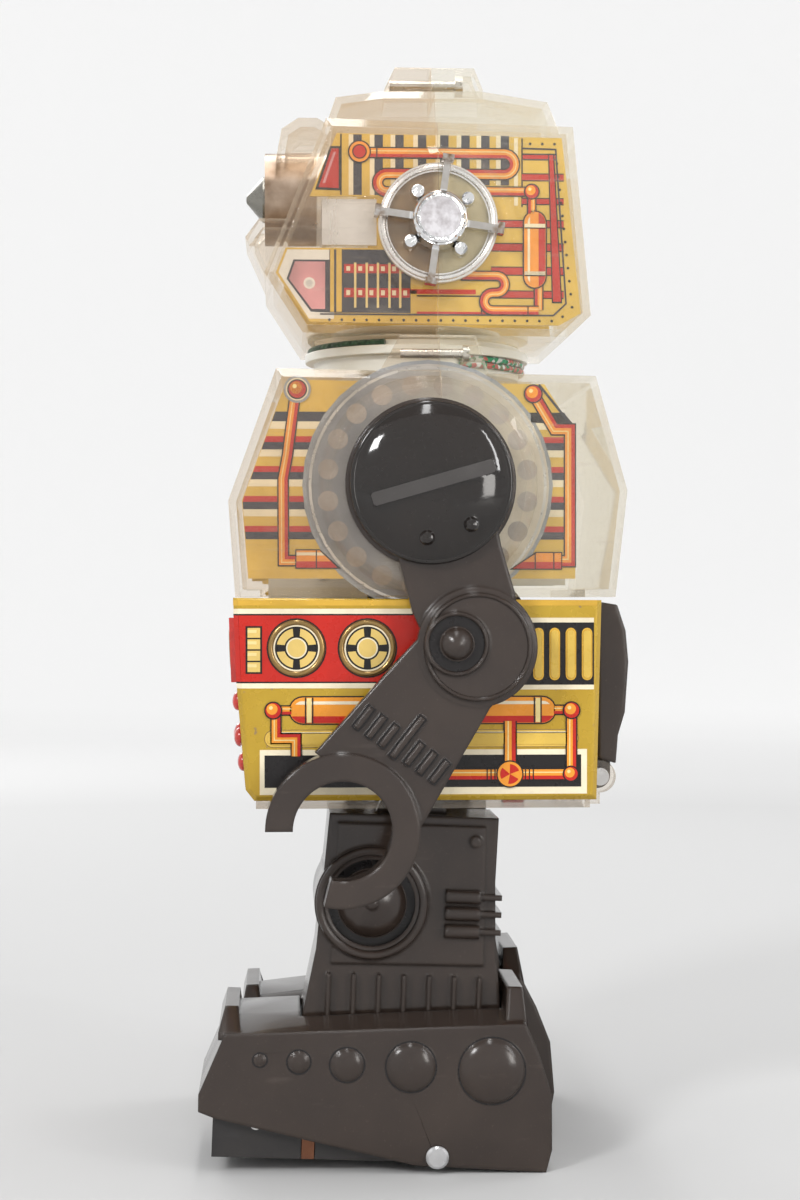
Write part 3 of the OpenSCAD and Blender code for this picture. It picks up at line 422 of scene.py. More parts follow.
FINISH = {
    "smoky": ["head_shell_front", "chest_shell_front", "base_tray"],
    "pale_clear": ["head_shell_rear", "chest_shell_rear"],
    "tin": ["waist_body"],
    "lamp": ["lamp_housing"],
    "cone": ["nose_cone"],
    "steel": ["head_screw", "shoulder_screws", "shoulder_axles", "gear_shafts", "crank_shaft", "motor",
              "cover_hinge_pin", "hip_shaft"],
    "white": ["neck_collar", "gear_frame"],
    "wire": ["neck_wires"],
    "brass": ["motor_pinion", "battery_contacts"],
    "red": ["first_gear", "front_bezel", "front_lenses", "switch_slider"],
    "yellow": ["second_gear"],
    "blue": ["third_gear"],
    "black": ["battery_box"],
    "cells": ["battery_cells"],
    "dark": ["battery_cover"],
    "bulb": ["head_bulb"],
}

# The same for the nodes that come in left and right pairs
PAIR_FINISH = {
    "dark": ["arm", "leg", "foot_shell"],
    "cap": ["shoulder_cap"],
    "sole": ["sole_tray"],
    "rubber": ["front_wheel"],
    "axle_end": ["rear_axle"],
    "copper": ["ratchet_pawl"],
    "dish": ["ear_dish"],
    "hub": ["ear_spinner"],
    "steel": ["front_axle", "foot_screws"],
}


def paint(node, mat):
    obj = NODES[node]
    obj.data.materials.clear()
    obj.data.materials.append(mat)


for key, members in FINISH.items():
    for member in members:
        paint(member, MAT[key])
for end in ENDS:
    for key, members in PAIR_FINISH.items():
        for member in members:
            paint(f"{member}_{end}", MAT[key])
    paint(f"head_panel_{end}", LITHO["yellow"])
    paint(f"chest_panel_{end}", LITHO["yellow"])


def soften(node, width, segments=3):
    """Rounds a CAD solid's sharp edges a little, as a moulding's are."""
    obj = NODES[node]
    weld = obj.modifiers.new("weld", "WELD")
    weld.merge_threshold = 1e-6
    bevel = obj.modifiers.new("round", "BEVEL")
    bevel.width = width / MM
    bevel.segments = segments
    bevel.limit_method = "ANGLE"
    bevel.angle_limit = math.radians(34.0)
    bevel.miter_outer = "MITER_ARC"
    bevel.use_clamp_overlap = True
    even = obj.modifiers.new("normals", "WEIGHTED_NORMAL")
    even.weight = 80
    even.keep_sharp = False


for end in ENDS:
    soften(f"arm_{end}", 0.7, 4)
    soften(f"leg_{end}", 0.7, 4)
    soften(f"foot_shell_{end}", 1.1, 4)
    soften(f"shoulder_cap_{end}", 0.3)
    soften(f"ear_spinner_{end}", 0.2, 2)
for shell in ("head_shell_front", "head_shell_rear", "chest_shell_front", "chest_shell_rear"):
    soften(shell, 0.5, 2)
soften("battery_cover", 0.5)
soften("neck_collar", 0.3, 2)
soften("front_bezel", 0.8)


# ---- printed tin artwork, laid on in thin layers ----

def arc(centre, r, start, end, steps=10):
    """Points on a circle in the side plane, angles in degrees from +Y towards +Z."""
    pts = []
    for i in range(steps + 1):
        a = math.radians(start + (end - start) * i / steps)
        pts.append((centre[0] + r * math.cos(a), centre[1] + r * math.sin(a)))
    return pts


def circle(centre, r, steps):
    """Points right round a circle in the side plane."""
    return arc(centre, r, 0, 360 - 360 / steps, steps - 1)


def between_loops(loops, steps, closed):
    """Quads that join each loop of points to the next, and the last to the first if closed."""
    faces = []
    for k in range(loops if closed else loops - 1):
        a, b = k * steps, (k + 1) % loops * steps
        for i in range(steps):
            j = (i + 1) % steps
            faces.append((a + i, a + j, b + j, b + i))
    return faces


def offset_path(path, shift):
    """A polyline moved sideways by shift, with mitred joints."""
    out = []
    last = len(path) - 1
    for i, p in enumerate(path):
        normals = []
        for j in (i - 1, i):
            if 0 <= j < last:
                dy = path[j + 1][0] - path[j][0]
                dz = path[j + 1][1] - path[j][1]
                size = math.hypot(dy, dz)
                normals.append((-dz / size, dy / size))
        ny = sum(n[0] for n in normals) / len(normals)
        nz = sum(n[1] for n in normals) / len(normals)
        stretch = max(0.4, ny * ny + nz * nz)
        out.append((p[0] + shift * ny / stretch, p[1] + shift * nz / stretch))
    return out


class Print:
    """Coloured shapes on one flat side of the robot, as one thin closed-relief piece."""

    def __init__(self, name, body, side, plane, slot="printed_tin", turn=None):
        self.name, self.body, self.side, self.plane, self.slot = name, body, side, plane, slot
        self.turn = turn
        self.verts, self.faces, self.inks, self.rounded = [], [], [], []
        self.palette = []

    def add(self, points, faces, colour, smooth=False):
        start = len(self.verts)
        for x, y, z in points:
            if self.turn:
                angle, y0, z0 = self.turn
                c, s = math.cos(math.radians(angle)), math.sin(math.radians(angle))
                y, z = y0 + (y - y0) * c - (z - z0) * s, z0 + (y - y0) * s + (z - z0) * c
            self.verts.append((self.side * x / MM, y / MM, (z + LIFT) / MM))
        if colour not in self.palette:
            self.palette.append(colour)
        for face in faces:
            ordered = face if self.side > 0 else tuple(reversed(face))
            self.faces.append(tuple(start + i for i in ordered))
            self.inks.append(self.palette.index(colour))
            self.rounded.append(smooth)

    def shape(self, outline, colour, layer=1, height=None):
        """A flat shape; the outline runs anticlockwise seen from outside the left side."""
        area = sum(a[0] * b[1] - b[0] * a[1] for a, b in zip(outline, outline[1:] + outline[:1]))
        pts = list(outline) if area > 0 else list(reversed(outline))
        n = len(pts)
        top = self.plane + (height if height is not None else layer * LAYER)
        points = [(self.plane, y, z) for y, z in pts] + [(top, y, z) for y, z in pts]
        faces = [tuple(range(n, 2 * n)), tuple(reversed(range(n)))]
        for i in range(n):
            j = (i + 1) % n
            faces.append((i, j, n + j, n + i))
        self.add(points, faces, colour)

    def box(self, y0, y1, z0, z1, colour, layer=1):
        self.shape([(y0, z0), (y1, z0), (y1, z1), (y0, z1)], colour, layer)

    def disc(self, centre, r, colour, layer=1, height=None):
        self.shape(circle(centre, r, 32), colour, layer, height)

    def ring(self, centre, r_out, r_in, colour, layer=1, height=None, steps=48):
        """A flat ring with its hole open."""
        top = self.plane + (height if height is not None else layer * LAYER)
        section = ((self.plane, r_out), (top, r_out), (top, r_in), (self.plane, r_in))
        points = []
        for x, r in section:
            points += [(x, y, z) for y, z in circle(centre, r, steps)]
        self.add(points, between_loops(len(section), steps, True), colour)

    def bead(self, centre, r, half, colour, lift=0.0, steps=64):
        """A half-round ring of radius r, half wide to each side, standing on the plane."""
        points = []
        spans = 8
        for k in range(spans + 1):
            a = math.pi * k / spans
            x = self.plane + lift + half * math.sin(a)
            points += [(x, y, z) for y, z in circle(centre, r + half * math.cos(a), steps)]
        self.add(points, between_loops(spans + 1, steps, True), colour, True)

    def dome(self, centre, r, rise, colour, steps=48):
        """A low dome on the plane."""
        rings = 6
        points = []
        for k in range(rings):
            a = math.radians(90.0 * k / rings)
            x = self.plane + rise * math.sin(a)
            points += [(x, y, z) for y, z in circle(centre, r * math.cos(a), steps)]
        points.append((self.plane + rise, *centre))
        last = (rings - 1) * steps
        faces = [tuple(reversed(range(steps)))] + between_loops(rings, steps, False)
        for i in range(steps):
            faces.append((last + i, last + (i + 1) % steps, rings * steps))
        self.add(points, faces, colour, True)

    def stroke(self, path, width, colour, layer=1, shift=0.0):
        """A band of even width along a polyline, as quads."""
        left = offset_path(path, shift + width / 2)
        right = offset_path(path, shift - width / 2)
        top = self.plane + layer * LAYER
        n = len(path)
        points = []
        for x in (self.plane, top):
            for pts in (right, left):
                points += [(x, y, z) for y, z in pts]
        faces = []
        for i in range(n - 1):
            faces.append((2 * n + i, 2 * n + i + 1, 3 * n + i + 1, 3 * n + i))
            faces.append((i, n + i, n + i + 1, i + 1))
            faces.append((i, i + 1, 2 * n + i + 1, 2 * n + i))
            faces.append((n + i + 1, n + i, 3 * n + i, 3 * n + i + 1))
        for i, flip in ((0, False), (n - 1, True)):
            cap = (i, 2 * n + i, 3 * n + i, n + i)
            faces.append(tuple(reversed(cap)) if flip else cap)
        self.add(points, faces, colour)

    def pipe(self, path, width, layer=3, shade=1.0, body="orange"):
        """A printed pipe: dark outline, orange body, red shaded side and a pale highlight."""
        self.stroke(path, width + 0.7, "black", layer)
        self.stroke(path, width, body, layer + 1)
        self.stroke(path, width * 0.36, "red", layer + 2, -shade * width * 0.32)
        self.stroke(path, width * 0.12, "straw", layer + 2, shade * width * 0.2)

    def ball(self, centre, r, layer=6):
        self.disc(centre, r + 0.35, "black", layer)
        self.disc(centre, r, "red", layer + 1)
        self.disc((centre[0] - r * 0.15, centre[1] + r * 0.18), r * 0.72, "orange", layer + 2)
        self.disc((centre[0] - r * 0.3, centre[1] + r * 0.35), r * 0.25, "straw", layer + 3)

    def tank(self, y0, y1, z0, z1, across, layer=3):
        """A round-ended tank lying along Y, or standing along Z if across is true."""
        r = ((y1 - y0) if across else (z1 - z0)) / 2

        def capsule(grow, low, high):
            if across:
                c = (y0 + y1) / 2
                top = arc((c, z1 - r), r + grow, 0, 180)
                bottom = arc((c, z0 + r), r + grow, 180, 360)
                pts = [(y, z) for y, z in top + bottom]
                return [(min(max(y, c + low * r), c + high * r), z) for y, z in pts]
            c = (z0 + z1) / 2
            right = arc((y1 - r, c), r + grow, -90, 90)
            left = arc((y0 + r, c), r + grow, 90, 270)
            return [(y, min(max(z, c + low * r), c + high * r)) for y, z in right + left]

        self.shape(capsule(0.35, -2, 2), "black", layer)
        self.shape(capsule(0.0, -2, 2), "orange", layer + 1)
        if across:
            self.shape(capsule(-0.1, 0.35, 2), "red", layer + 2)
            self.shape(capsule(-0.9, -0.7, -0.45), "pale", layer + 2)
        else:
            self.shape(capsule(-0.1, -2, -0.45), "red", layer + 2)
            self.shape(capsule(-0.9, 0.45, 0.7), "pale", layer + 2)

    def make(self):
        mesh = bpy.data.meshes.new(self.name)
        mesh.from_pydata(self.verts, [], self.faces)
        for colour in self.palette:
            mesh.materials.append(LITHO[colour] if colour in LITHO else MAT[colour])
        mesh.polygons.foreach_set("material_index", self.inks)
        mesh.polygons.foreach_set("use_smooth", self.rounded)
        mesh.update()
        obj = bpy.data.objects.new(self.name, mesh)
        bpy.context.scene.collection.objects.link(obj)
        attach(obj, self.body)
        return obj


def waist_front_y(z):
    """Where the tin waist's front edge is at height z."""
    if z > 121.2:
        return -45.8 - (z - 121.2) / 23.4
    return -43.6 - 2.2 * (z - 95.8) / 25.4


def dial(art, centre, size):
    """A round instrument: rolled bronze rim, four lit quarters and a lit middle."""
    art.disc(centre, 7.6 * size, "black", 3)
    art.bead(centre, 6.55 * size, 0.75 * size, "bronze")
    art.ring(centre, 5.9 * size, 5.5 * size, "pale", 4, 0.3)
    art.disc(centre, 5.5 * size, "black", 4)
    for quarter in range(4):
        a0 = quarter * 90 + 11
        a1 = quarter * 90 + 79
        sector = arc(centre, 5.05 * size, a0, a1, 8) + arc(centre, 3.1 * size, a1 - 4, a0 + 4, 8)
        art.shape(sector, "amber", 6)
    art.disc(centre, 2.65 * size, "pale", 6)
    art.disc(centre, 2.3 * size, "amber", 7)


def waist_print(end, side):
    art = Print(f"waist_print_{end}", "torso", side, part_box("waist_body")[1].x * MM)

    def from_edge(z0, z1, y1, colour, layer):
        """A band from behind the front corner's chamfer, and its strip across the chamfer."""
        near, far = waist_front_y(z0), waist_front_y(z1)
        art.shape([(near + EDGE, z0), (y1, z0), (y1, z1), (far + EDGE, z1)], colour, layer)
        x = art.plane
        under = [(x - EDGE, near, z0), (x, near + EDGE, z0), (x, far + EDGE, z1), (x - EDGE, far, z1)]
        rise = layer * LAYER * 0.75
        over = [(x0 + rise, y0 - rise, z) for x0, y0, z in under]
        faces = [(4, 5, 6, 7), (3, 2, 1, 0)] + [(i, (i + 1) % 4, 4 + (i + 1) % 4, 4 + i) for i in range(4)]
        art.add(under + over, faces, colour)

    # red band with its pale and black lines
    from_edge(142.6, 144.0, 46.0, "gold", 1)
    from_edge(140.5, 141.8, 14.0, "pale", 1)
    from_edge(122.9, 140.5, 14.0, "black", 1)
    from_edge(123.3, 140.1, 13.5, "red", 2)
    from_edge(121.6, 122.9, 14.0, "pale", 1)
    # four lit squares
    art.box(-43.6, -39.4, 125.3, 137.4, "black", 3)
    for i in range(4):
        z0 = 125.75 + 2.9 * i
        art.box(-43.1, -39.9, z0, z0 + 2.5, "amber", 4)
        art.box(-43.1, -40.8, z0 + 1.2, z0 + 2.0, "straw", 5)
    # dials
    dial(art, (-30.7, 131.8), 1.0)
    dial(art, (-12.7, 131.8), 1.0)
    # louvres behind the arm
    art.box(17.5, 45.2, 138.3, 139.5, "pale", 1)
    art.box(17.5, 45.2, 122.4, 138.3, "black", 1)
    art.box(17.5, 45.2, 121.2, 122.4, "pale", 1)
    for i in range(6):
        y = 43.4 - 4.15 * i
        slot = arc((y, 135.6), 1.35, 0, 180, 8) + arc((y, 124.9), 1.35, 180, 360, 8)
        art.shape(slot, "gold", 2, 0.35)
        inner = arc((y, 135.4), 0.95, 0, 180, 8) + arc((y, 125.1), 0.95, 180, 360, 8)
        art.shape(inner, "yellow", 2, 0.7)
    # long embossed ridge, with a highlight painted pale along its top and its shade painted as a bronze
    # outline
    rear_end, front_end = (39.0, 108.8), (-36.6, 108.8)
    art.shape(arc(rear_end, 2.3, -90, 90, 8) + arc(front_end, 2.3, 90, 270, 8), "bronze", 1)
    art.shape(arc(rear_end, 2.1, -90, 90, 8) + arc(front_end, 2.1, 90, 270, 8), "yellow", 1, 0.12)
    art.shape(arc(rear_end, 1.5, -90, 90, 8) + arc(front_end, 1.5, 90, 270, 8), "yellow", 1, 0.35)
    art.stroke([(-36.6, 110.3), (39.0, 110.3)], 0.35, "pale", 7)
    # pale frame and black panel along the bottom
    art.box(-40.0, 43.4, 94.6, 106.0, "pale", 1)
    art.box(-38.8, 41.9, 96.4, 104.6, "black", 2)
    # tank and its pipes
    art.tank(-32.4, 35.2, 112.7, 119.3, False)
    for y in (-28.4, -26.6, 29.9, 31.6):
        art.stroke([(y, 112.75), (y, 119.25)], 0.35, "black", 6)
    art.stroke([(-27.5, 112.9), (-27.5, 119.1)], 1.2, "straw", 6)
    art.stroke([(30.8, 112.9), (30.8, 119.1)], 1.2, "straw", 6)
    art.pipe([(-36.6, 116.0), (-32.0, 116.0)], 2.0)
    art.pipe([(34.9, 116.0), (39.4, 116.0)], 2.0)
    art.pipe([(-35.9, 116.0), (-35.9, 108.9), (-30.8, 108.9), (-30.8, 104.4)], 2.2, 7, -1)
    art.pipe([(39.4, 116.0), (39.4, 99.7)], 2.3, 7, -1)
    art.pipe([(23.7, 113.2), (23.7, 99.7)], 2.7, 7, -1)
    art.pipe([(2.0, 99.6), (39.2, 99.6)], 2.5, 7, 1)
    for y in (17.8, 18.8, 19.8, 27.6, 28.6, 29.6):
        art.stroke([(y, 98.2), (y, 101.0)], 0.28, "black", 10)
    art.disc((23.6, 99.7), 3.5, "black", 10)
    art.disc((23.6, 99.7), 3.15, "orange", 11)
    for a in (20, 140, 260):
        wedge = [(23.6, 99.7)] + arc((23.6, 99.7), 2.5, a, a + 70, 6)
        art.shape(wedge, "red", 12)
    for centre in ((-36.6, 116.0), (39.4, 115.9)):
        art.ball(centre, 1.95, 10)
    art.ball((39.2, 99.7), 1.75, 10)
    return art.make()


def head_print(end, side):
    art = Print(f"head_print_{end}", "head", side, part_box("head_panel_left")[1].x * MM)
    # stripes along the top, and the line that ends them
    for i, y in enumerate((-14.8, -9.3, -3.9, 2.0, 7.8, 13.3, 18.5, 23.6)):
        low = 249.2 if i < 2 else 252.0
        art.box(y - 2.3, y - 1.1, low, 264.9, "pale", 1)
        art.box(y - 1.1, y + 1.1, low, 264.9, "navy", 1)
    art.box(-19.3, -18.9, 249.2, 265.0, "black", 1)
    art.box(26.0, 27.0, 246.8, 264.4, "pale", 1)
    art.box(27.9, 28.3, 246.4, 264.3, "black", 1)
    # red window
    art.shape([(-25.8, 250.5), (-19.3, 250.3), (-19.3, 261.8), (-21.9, 261.8)], "black", 2)
    art.shape([(-24.9, 251.1), (-19.7, 250.9), (-19.7, 261.2), (-21.5, 261.2)], "red", 3)
    art.shape([(-23.9, 252.2), (-23.2, 252.2), (-20.4, 260.3), (-21.0, 260.3)], "pink", 4)
    # red grid behind the ear
    art.box(28.3, 37.2, 258.6, 260.4, "black", 1)
    art.box(28.3, 37.2, 259.0, 260.0, "red", 2)
    for z, half in ((254.2, 0.75), (247.9, 0.65), (242.0, 0.8), (235.9, 0.85), (229.7, 0.9), (223.6, 0.8)):
        y0 = 28.0 if z > 245 else 20.0
        art.box(y0, 39.0, z - half - 0.3, z + half + 0.3, "black", 1)
        art.box(y0, 39.0, z - half, z + half, "red", 2)
    art.shape([(35.9, 221.4), (38.6, 221.4), (36.5, 260.4), (34.9, 260.4)], "black", 3)
    art.shape([(36.2, 221.8), (38.3, 221.8), (36.2, 260.0), (35.2, 260.0)], "red", 4)
    # border line and its dots
    art.stroke([(-24.5, 218.2), (36.3, 218.2), (39.6, 221.3), (36.9, 261.5), (28.1, 261.7)], 0.4, "navy", 4)
    for i in range(19):
        art.disc((-22.1 + 3.22 * i, 216.75), 0.36, "black", 2)
    for i in range(12):
        art.disc((41.2 - 0.36 * i, 220.4 + 3.4 * i), 0.36, "black", 2)
    for i in range(3):
        art.disc((30.2 + 3.2 * i, 262.9), 0.36, "black", 2)
    art.disc((38.7, 217.9), 0.36, "black", 2)
    # reflection of the shell's facet painted as a silver-white field, with the red window under it painted
    # washed out to mottled pink
    art.shape([(-33.0, 234.9), (-35.3, 229.0), (-27.4, 217.0), (-20.9, 217.0), (-20.9, 234.9)], "white", 1)
    art.shape([(-31.4, 232.3), (-22.1, 232.3), (-22.1, 218.6), (-26.9, 218.8), (-33.2, 227.3)], "navy", 2)
    art.shape([(-31.0, 231.8), (-23.2, 231.8), (-23.2, 219.5), (-26.7, 219.5), (-32.6, 227.3)], "pink", 3)
    art.ring((-27.3, 226.2), 1.5, 0.9, "white", 4)
    art.disc((-27.3, 226.2), 0.9, "silver", 4)
    # yellow bars, then the navy block with its red bars
    art.box(-22.1, -18.6, 218.6, 235.0, "navy", 4)
    art.box(-21.9, -20.9, 218.8, 235.0, "yellow", 5)
    art.box(-20.3, -18.9, 218.8, 235.0, "yellow", 5)
    art.box(-18.6, -1.0, 218.6, 235.0, "navy", 2)
    for z0, z1 in ((228.9, 231.2), (222.6, 225.0)):
        art.box(-18.3, -1.2, z0, z1, "red", 3)
        for y in (-17.0, -13.9, -11.0, -8.0, -5.1, -2.2):
            art.box(y - 0.7, y + 0.3, z0 + 0.55, z1 - 0.55, "pale", 4)
    for y in (-15.4, -12.4, -9.5, -6.5, -3.7):
        art.box(y - 0.3, y + 0.3, 219.9, 231.6, "straw", 5)
    art.box(-1.0, 0.6, 218.6, 224.5, "yellow", 3)
    art.stroke([(0.6, 223.1), (17.5, 223.1), (17.5, 218.4)], 0.35, "black", 3)
    art.box(0.6, 19.0, 218.4, 219.0, "red", 3)
    art.box(-1.0, 16.0, 223.6, 224.8, "red", 3)
    # upper pipe: out from the ring, round the bend and back, then its small hook
    upper = [(-12.0, 260.2)] + [(23.4, 260.2)] + arc((23.4, 257.5), 2.7, 80, -80, 8)
    upper += [(23.4, 254.8), (-6.8, 254.8)] + arc((-7.2, 252.4), 2.4, 100, 260, 8)
    upper += [(-6.0, 250.0), (-2.0, 250.0)]
    art.pipe(upper, 2.3, 5)
    art.pipe([(18.0, 250.4), (30.0, 250.4)], 2.0, 5)
    art.stroke([(-9.8, 259.0), (-9.8, 261.4)], 0.3, "black", 9)
    art.disc((-14.3, 260.4), 3.0, "black", 8)
    art.disc((-14.3, 260.4), 2.65, "orange", 9)
    art.disc((-14.3, 260.4), 1.9, "black", 10)
    art.disc((-14.3, 260.4), 1.6, "red", 11)
    # standing tank, its ball and the S-bend under it
    art.pipe([(30.6, 250.0), (30.6, 244.6)], 1.8, 8)
    art.ball((30.6, 250.4), 1.75, 10)
    art.pipe([(32.4, 226.5), (32.4, 219.6)], 1.9, 5)
    art.tank(28.6, 34.2, 225.4, 245.2, True, 9)
    for z in (229.1, 241.5):
        art.stroke([(28.7, z), (34.1, z)], 1.0, "pale", 12)
        art.stroke([(28.7, z - 0.6), (34.1, z - 0.6)], 0.25, "black", 13)
    bend = [(12.0, 228.4), (21.4, 228.4)] + arc((21.4, 226.2), 2.2, 80, -80, 8) + [(20.6, 224.0)]
    bend += arc((20.4, 221.7), 2.3, 96, 264, 8) + [(20.8, 219.4), (32.4, 219.4)]
    art.pipe(bend, 2.0, 8)
    art.stroke([(29.6, 218.4), (29.6, 220.4)], 0.25, "black", 12)
    return art.make()


def chest_front_y(z):
    """Where the chest panel's front edge is at height z."""
    if z < 169.4:
        return -43.0 - 1.6 * (z - 149.5) / 19.9
    return -44.6 + 11.4 * (z - 169.4) / 31.0


def chest_print(end, side):
    art = Print(f"chest_print_{end}", "torso", side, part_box("chest_panel_left")[1].x * MM)
    margin = 0.15
    hole_r = 9.0  # open middle of the ring under the shoulder boss

    def band(z0, z1, colour):
        """A stripe in two lengths, before and behind the shoulder."""
        near, far = chest_front_y(z0) + margin, chest_front_y(z1) + margin
        middle = SHOULDER[0]
        art.shape([(near, z0), (middle - hole_r, z0), (middle - hole_r, z1), (far, z1)], colour, 1)
        art.box(middle + hole_r, 38.4, z0, z1, colour, 1)

    band(189.7, 192.2, "navy")
    band(187.8, 189.7, "pale")
    for i in range(4):
        top = 185.9 - 7.65 * i
        band(top - 1.5, top, "red")
        band(top - 3.4, top - 1.5, "navy")
        if i < 3:
            band(top - 5.2, top - 3.4, "pale")
    # dark line and cut corner behind
    art.stroke([(31.6, 199.4), (40.6, 188.2)], 0.6, "navy", 3)
    art.shape([(29.5, 192.2), (38.0, 192.2), (40.8, 188.9), (29.5, 189.7)], "black", 2)
    # disc under the shoulder boss, with its ring of pale spots
    art.disc(SHOULDER, 32.2, "slate", 2)
    art.ring(SHOULDER, 31.2, hole_r, "annulus", 3)
    # painted highlight: a silver line where the clear boss's inner wall catches the light
    art.ring(SHOULDER, 30.6, 29.9, "silver", 4)
    for spot in arc(SHOULDER, 25.9, 9.0, 351.0, 19):
        art.disc(spot, 2.6, "peach", 4)
    # front pipe with its ball and foot
    art.pipe([(-31.2, 195.1), (-33.0, 181.0), (-34.1, 175.0), (-34.0, 154.1), (-30.6, 154.1)], 2.3, 5, -1)
    art.disc((-30.5, 197.9), 3.5, "slate", 8)
    art.disc((-30.5, 197.9), 2.9, "pale", 9)
    art.ball((-30.5, 197.9), 2.2, 10)
    foot = [(-31.0, 152.0), (-19.2, 152.0), (-24.7, 157.0), (-31.0, 157.0)]
    art.shape(foot, "black", 7)
    art.shape([(-30.7, 152.3), (-20.2, 152.3), (-24.8, 156.7), (-30.7, 156.7)], "orange", 8)
    art.shape([(-30.7, 152.3), (-20.2, 152.3), (-21.9, 153.9), (-30.7, 153.9)], "red", 9)
    art.shape([(-30.7, 155.4), (-23.5, 155.4), (-24.3, 156.2), (-30.7, 156.2)], "pale", 9)
    art.stroke([(-25.6, 152.2), (-25.6, 156.8)], 0.3, "black", 10)
    # rear pipe
    art.pipe([(31.1, 195.4), (35.6, 187.9), (39.6, 187.9), (39.6, 154.0), (36.8, 154.0)], 2.5, 5, -1)
    art.ball((30.1, 197.0), 2.1, 10)
    art.shape([(23.9, 151.8), (37.6, 151.8), (37.6, 156.4), (30.8, 156.4)], "black", 7)
    art.shape([(24.8, 152.1), (37.3, 152.1), (37.3, 156.1), (31.0, 156.1)], "orange", 8)
    art.shape([(24.8, 152.1), (37.3, 152.1), (37.3, 153.8), (27.4, 153.8)], "red", 9)
    art.stroke([(35.4, 151.9), (35.4, 156.3)], 0.3, "black", 10)
    art.stroke([(30.6, 151.9), (30.6, 156.3)], 0.3, "black", 10)
    return art.make()


def ear_rim(end, side):
    """Bright plated ring round the dish."""
    rim = Print(f"ear_rim_{end}", "head", side, 36.2, "chromed_plastic")
    rim.ring(EAR, 15.4, 13.2, "silver_plate", 1, 0.25)
    rim.bead(EAR, 14.3, 0.8, "silver_plate", 0.2)
    return rim.make()


def arm_relief(end, side):
    """The elbow's rolled edges and recess with its shade painted black, the forearm's ribs with black shade
    painted round them, the cap's rim, and the rib laid over the cap's dome.
    """
    turn = (RIGHT_ARM_BACK, *SHOULDER) if side < 0 else None
    body = f"arm_{end}_group"
    art = Print(f"elbow_relief_{end}", body, side, 58.6, "dark_plastic", turn)
    art.bead(ELBOW, 13.0, 0.6, "dark")
    art.bead(ELBOW_RING, 7.5, 0.6, "dark", 0.6)
    # painted shade: a black ring on the recess floor
    art.ring(ELBOW_RING, 6.9, 4.4, "black", 1, 0.3)
    art.plane = 57.9
    lean = math.radians(FORE_LEAN)
    for i in range(7):
        half = 6.2 if i == 3 else 3.2
        rise = 2.4 if i == 3 else 0.0
        middle = (-14.1 + 3.15 * i, 114.7 - 2.25 * i)
        # each rib: a black outline painted as the shade in the groove round it, then the raised dark bar
        for reach, wide, colour, height in ((0.35, 1.25, "black", 0.12), (0.0, 0.75, "dark", 0.55)):
            bar = []
            for across, along in ((-wide, rise - half - reach), (wide, rise - half - reach),
                                  (wide, rise + half + reach), (-wide, rise + half + reach)):
                bar.append((middle[0] + across * math.cos(lean) + along * math.sin(lean),
                            middle[1] - across * math.sin(lean) + along * math.cos(lean)))
            art.shape(bar, colour, 1, height)
    art.plane = 60.3
    art.dome(ELBOW_RING, 4.2, 0.6, "dark")
    art.make()
    cap = Print(f"cap_relief_{end}", body, side, 57.2, "cap_plastic", turn)
    cap.bead(SHOULDER, 19.7, 0.8, "cap")
    cap.plane = 62.2
    tilt = math.radians(16.0)
    bar = []
    for along, across in ((-15.8, -1.4), (-15.2, -2.0), (15.2, -2.0), (15.8, -1.4),
                          (15.8, 0.8), (15.2, 1.4), (-15.2, 1.4), (-15.8, 0.8)):
        bar.append((SHOULDER[0] + along * math.cos(tilt) - across * math.sin(tilt),
                    SHOULDER[1] + along * math.sin(tilt) + across * math.cos(tilt)))
    cap.shape(bar, "rib", 1, 0.2)
    cap.make()


def leg_relief(end, side):
    """The knee's rolled lip, its recess with the shade painted black, and low hub, and black rings painted
    as the shade in the grooves round the foot's domes.
    """
    turn = (-side * LEG_PHASE, *HIP)
    body = f"leg_{end}_group"
    knee = Print(f"knee_relief_{end}", body, side, 38.0, "dark_plastic", turn)
    knee.bead(KNEE, 13.4, 1.2, "dark")
    knee.dome(KNEE, 8.8, 0.7, "dark")
    knee.plane = 38.6
    knee.dome(KNEE, 1.7, 0.7, "dark")
    # painted shade: a black ring on the knee groove's floor
    knee.plane = 35.4
    knee.ring(KNEE, 11.2, 9.0, "black", 1, 0.1)
    knee.make()
    foot = Print(f"foot_groove_shade_{end}", body, side, 49.0, "dark_plastic", turn)
    # painted shade: a thin black ring round each dome
    for y, z, r in FOOT_DOMES:
        foot.ring((y, z), r + 0.45, r - 0.2, "black", 1, 0.03)
    foot.make()


class FrontPrint(Print):
    """The same relief laid on the waist's leaning front; outlines run along X and Z."""

    def __init__(self, name, body, slot="printed_tin"):
        super().__init__(name, body, 1, 0.0, slot)

    def add(self, points, faces, colour, smooth=False):
        turned = [(u, waist_front_y(z) - depth, z) for depth, u, z in points]
        super().add(turned, faces, colour, smooth)


def waist_front_print():
    art = FrontPrint("waist_print_front", "torso")
    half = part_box("waist_body")[1].x * MM - EDGE
    for z0, z1, colour in ((142.6, 144.0, "gold"), (140.5, 141.8, "pale"), (122.9, 140.5, "red"),
                           (121.6, 122.9, "pale")):
        art.box(-half, half, z0, z1, colour)
    for z in (123.1, 140.3):
        art.box(-half, half, z - 0.2, z + 0.2, "black", 2)
    art.box(-half + 1.0, half - 1.0, 96.4, 104.6, "black", 1)
    # dials in the bezel's two openings
    art.plane = 1.45
    dial(art, (-18.0, 131.0), 0.77)
    dial(art, (18.0, 131.0), 0.77)
    return art.make()


waist_front_print()
for end, side in zip(ENDS, (1, -1)):
    ear_rim(end, side)
    arm_relief(end, side)
    leg_relief(end, side)
    waist_print(end, side)
    head_print(end, side)
    chest_print(end, side)


# ---- stage ----

# Lengths from here on are in metres
NEAR_TONE = 0.54
FAR_TONE = 0.62
WALL_GLOW = 0.36  # makes up for the light falling off towards the wall
FLAT_R = 1.8
BEND_R = 1.0
WALL_TOP = 3.2

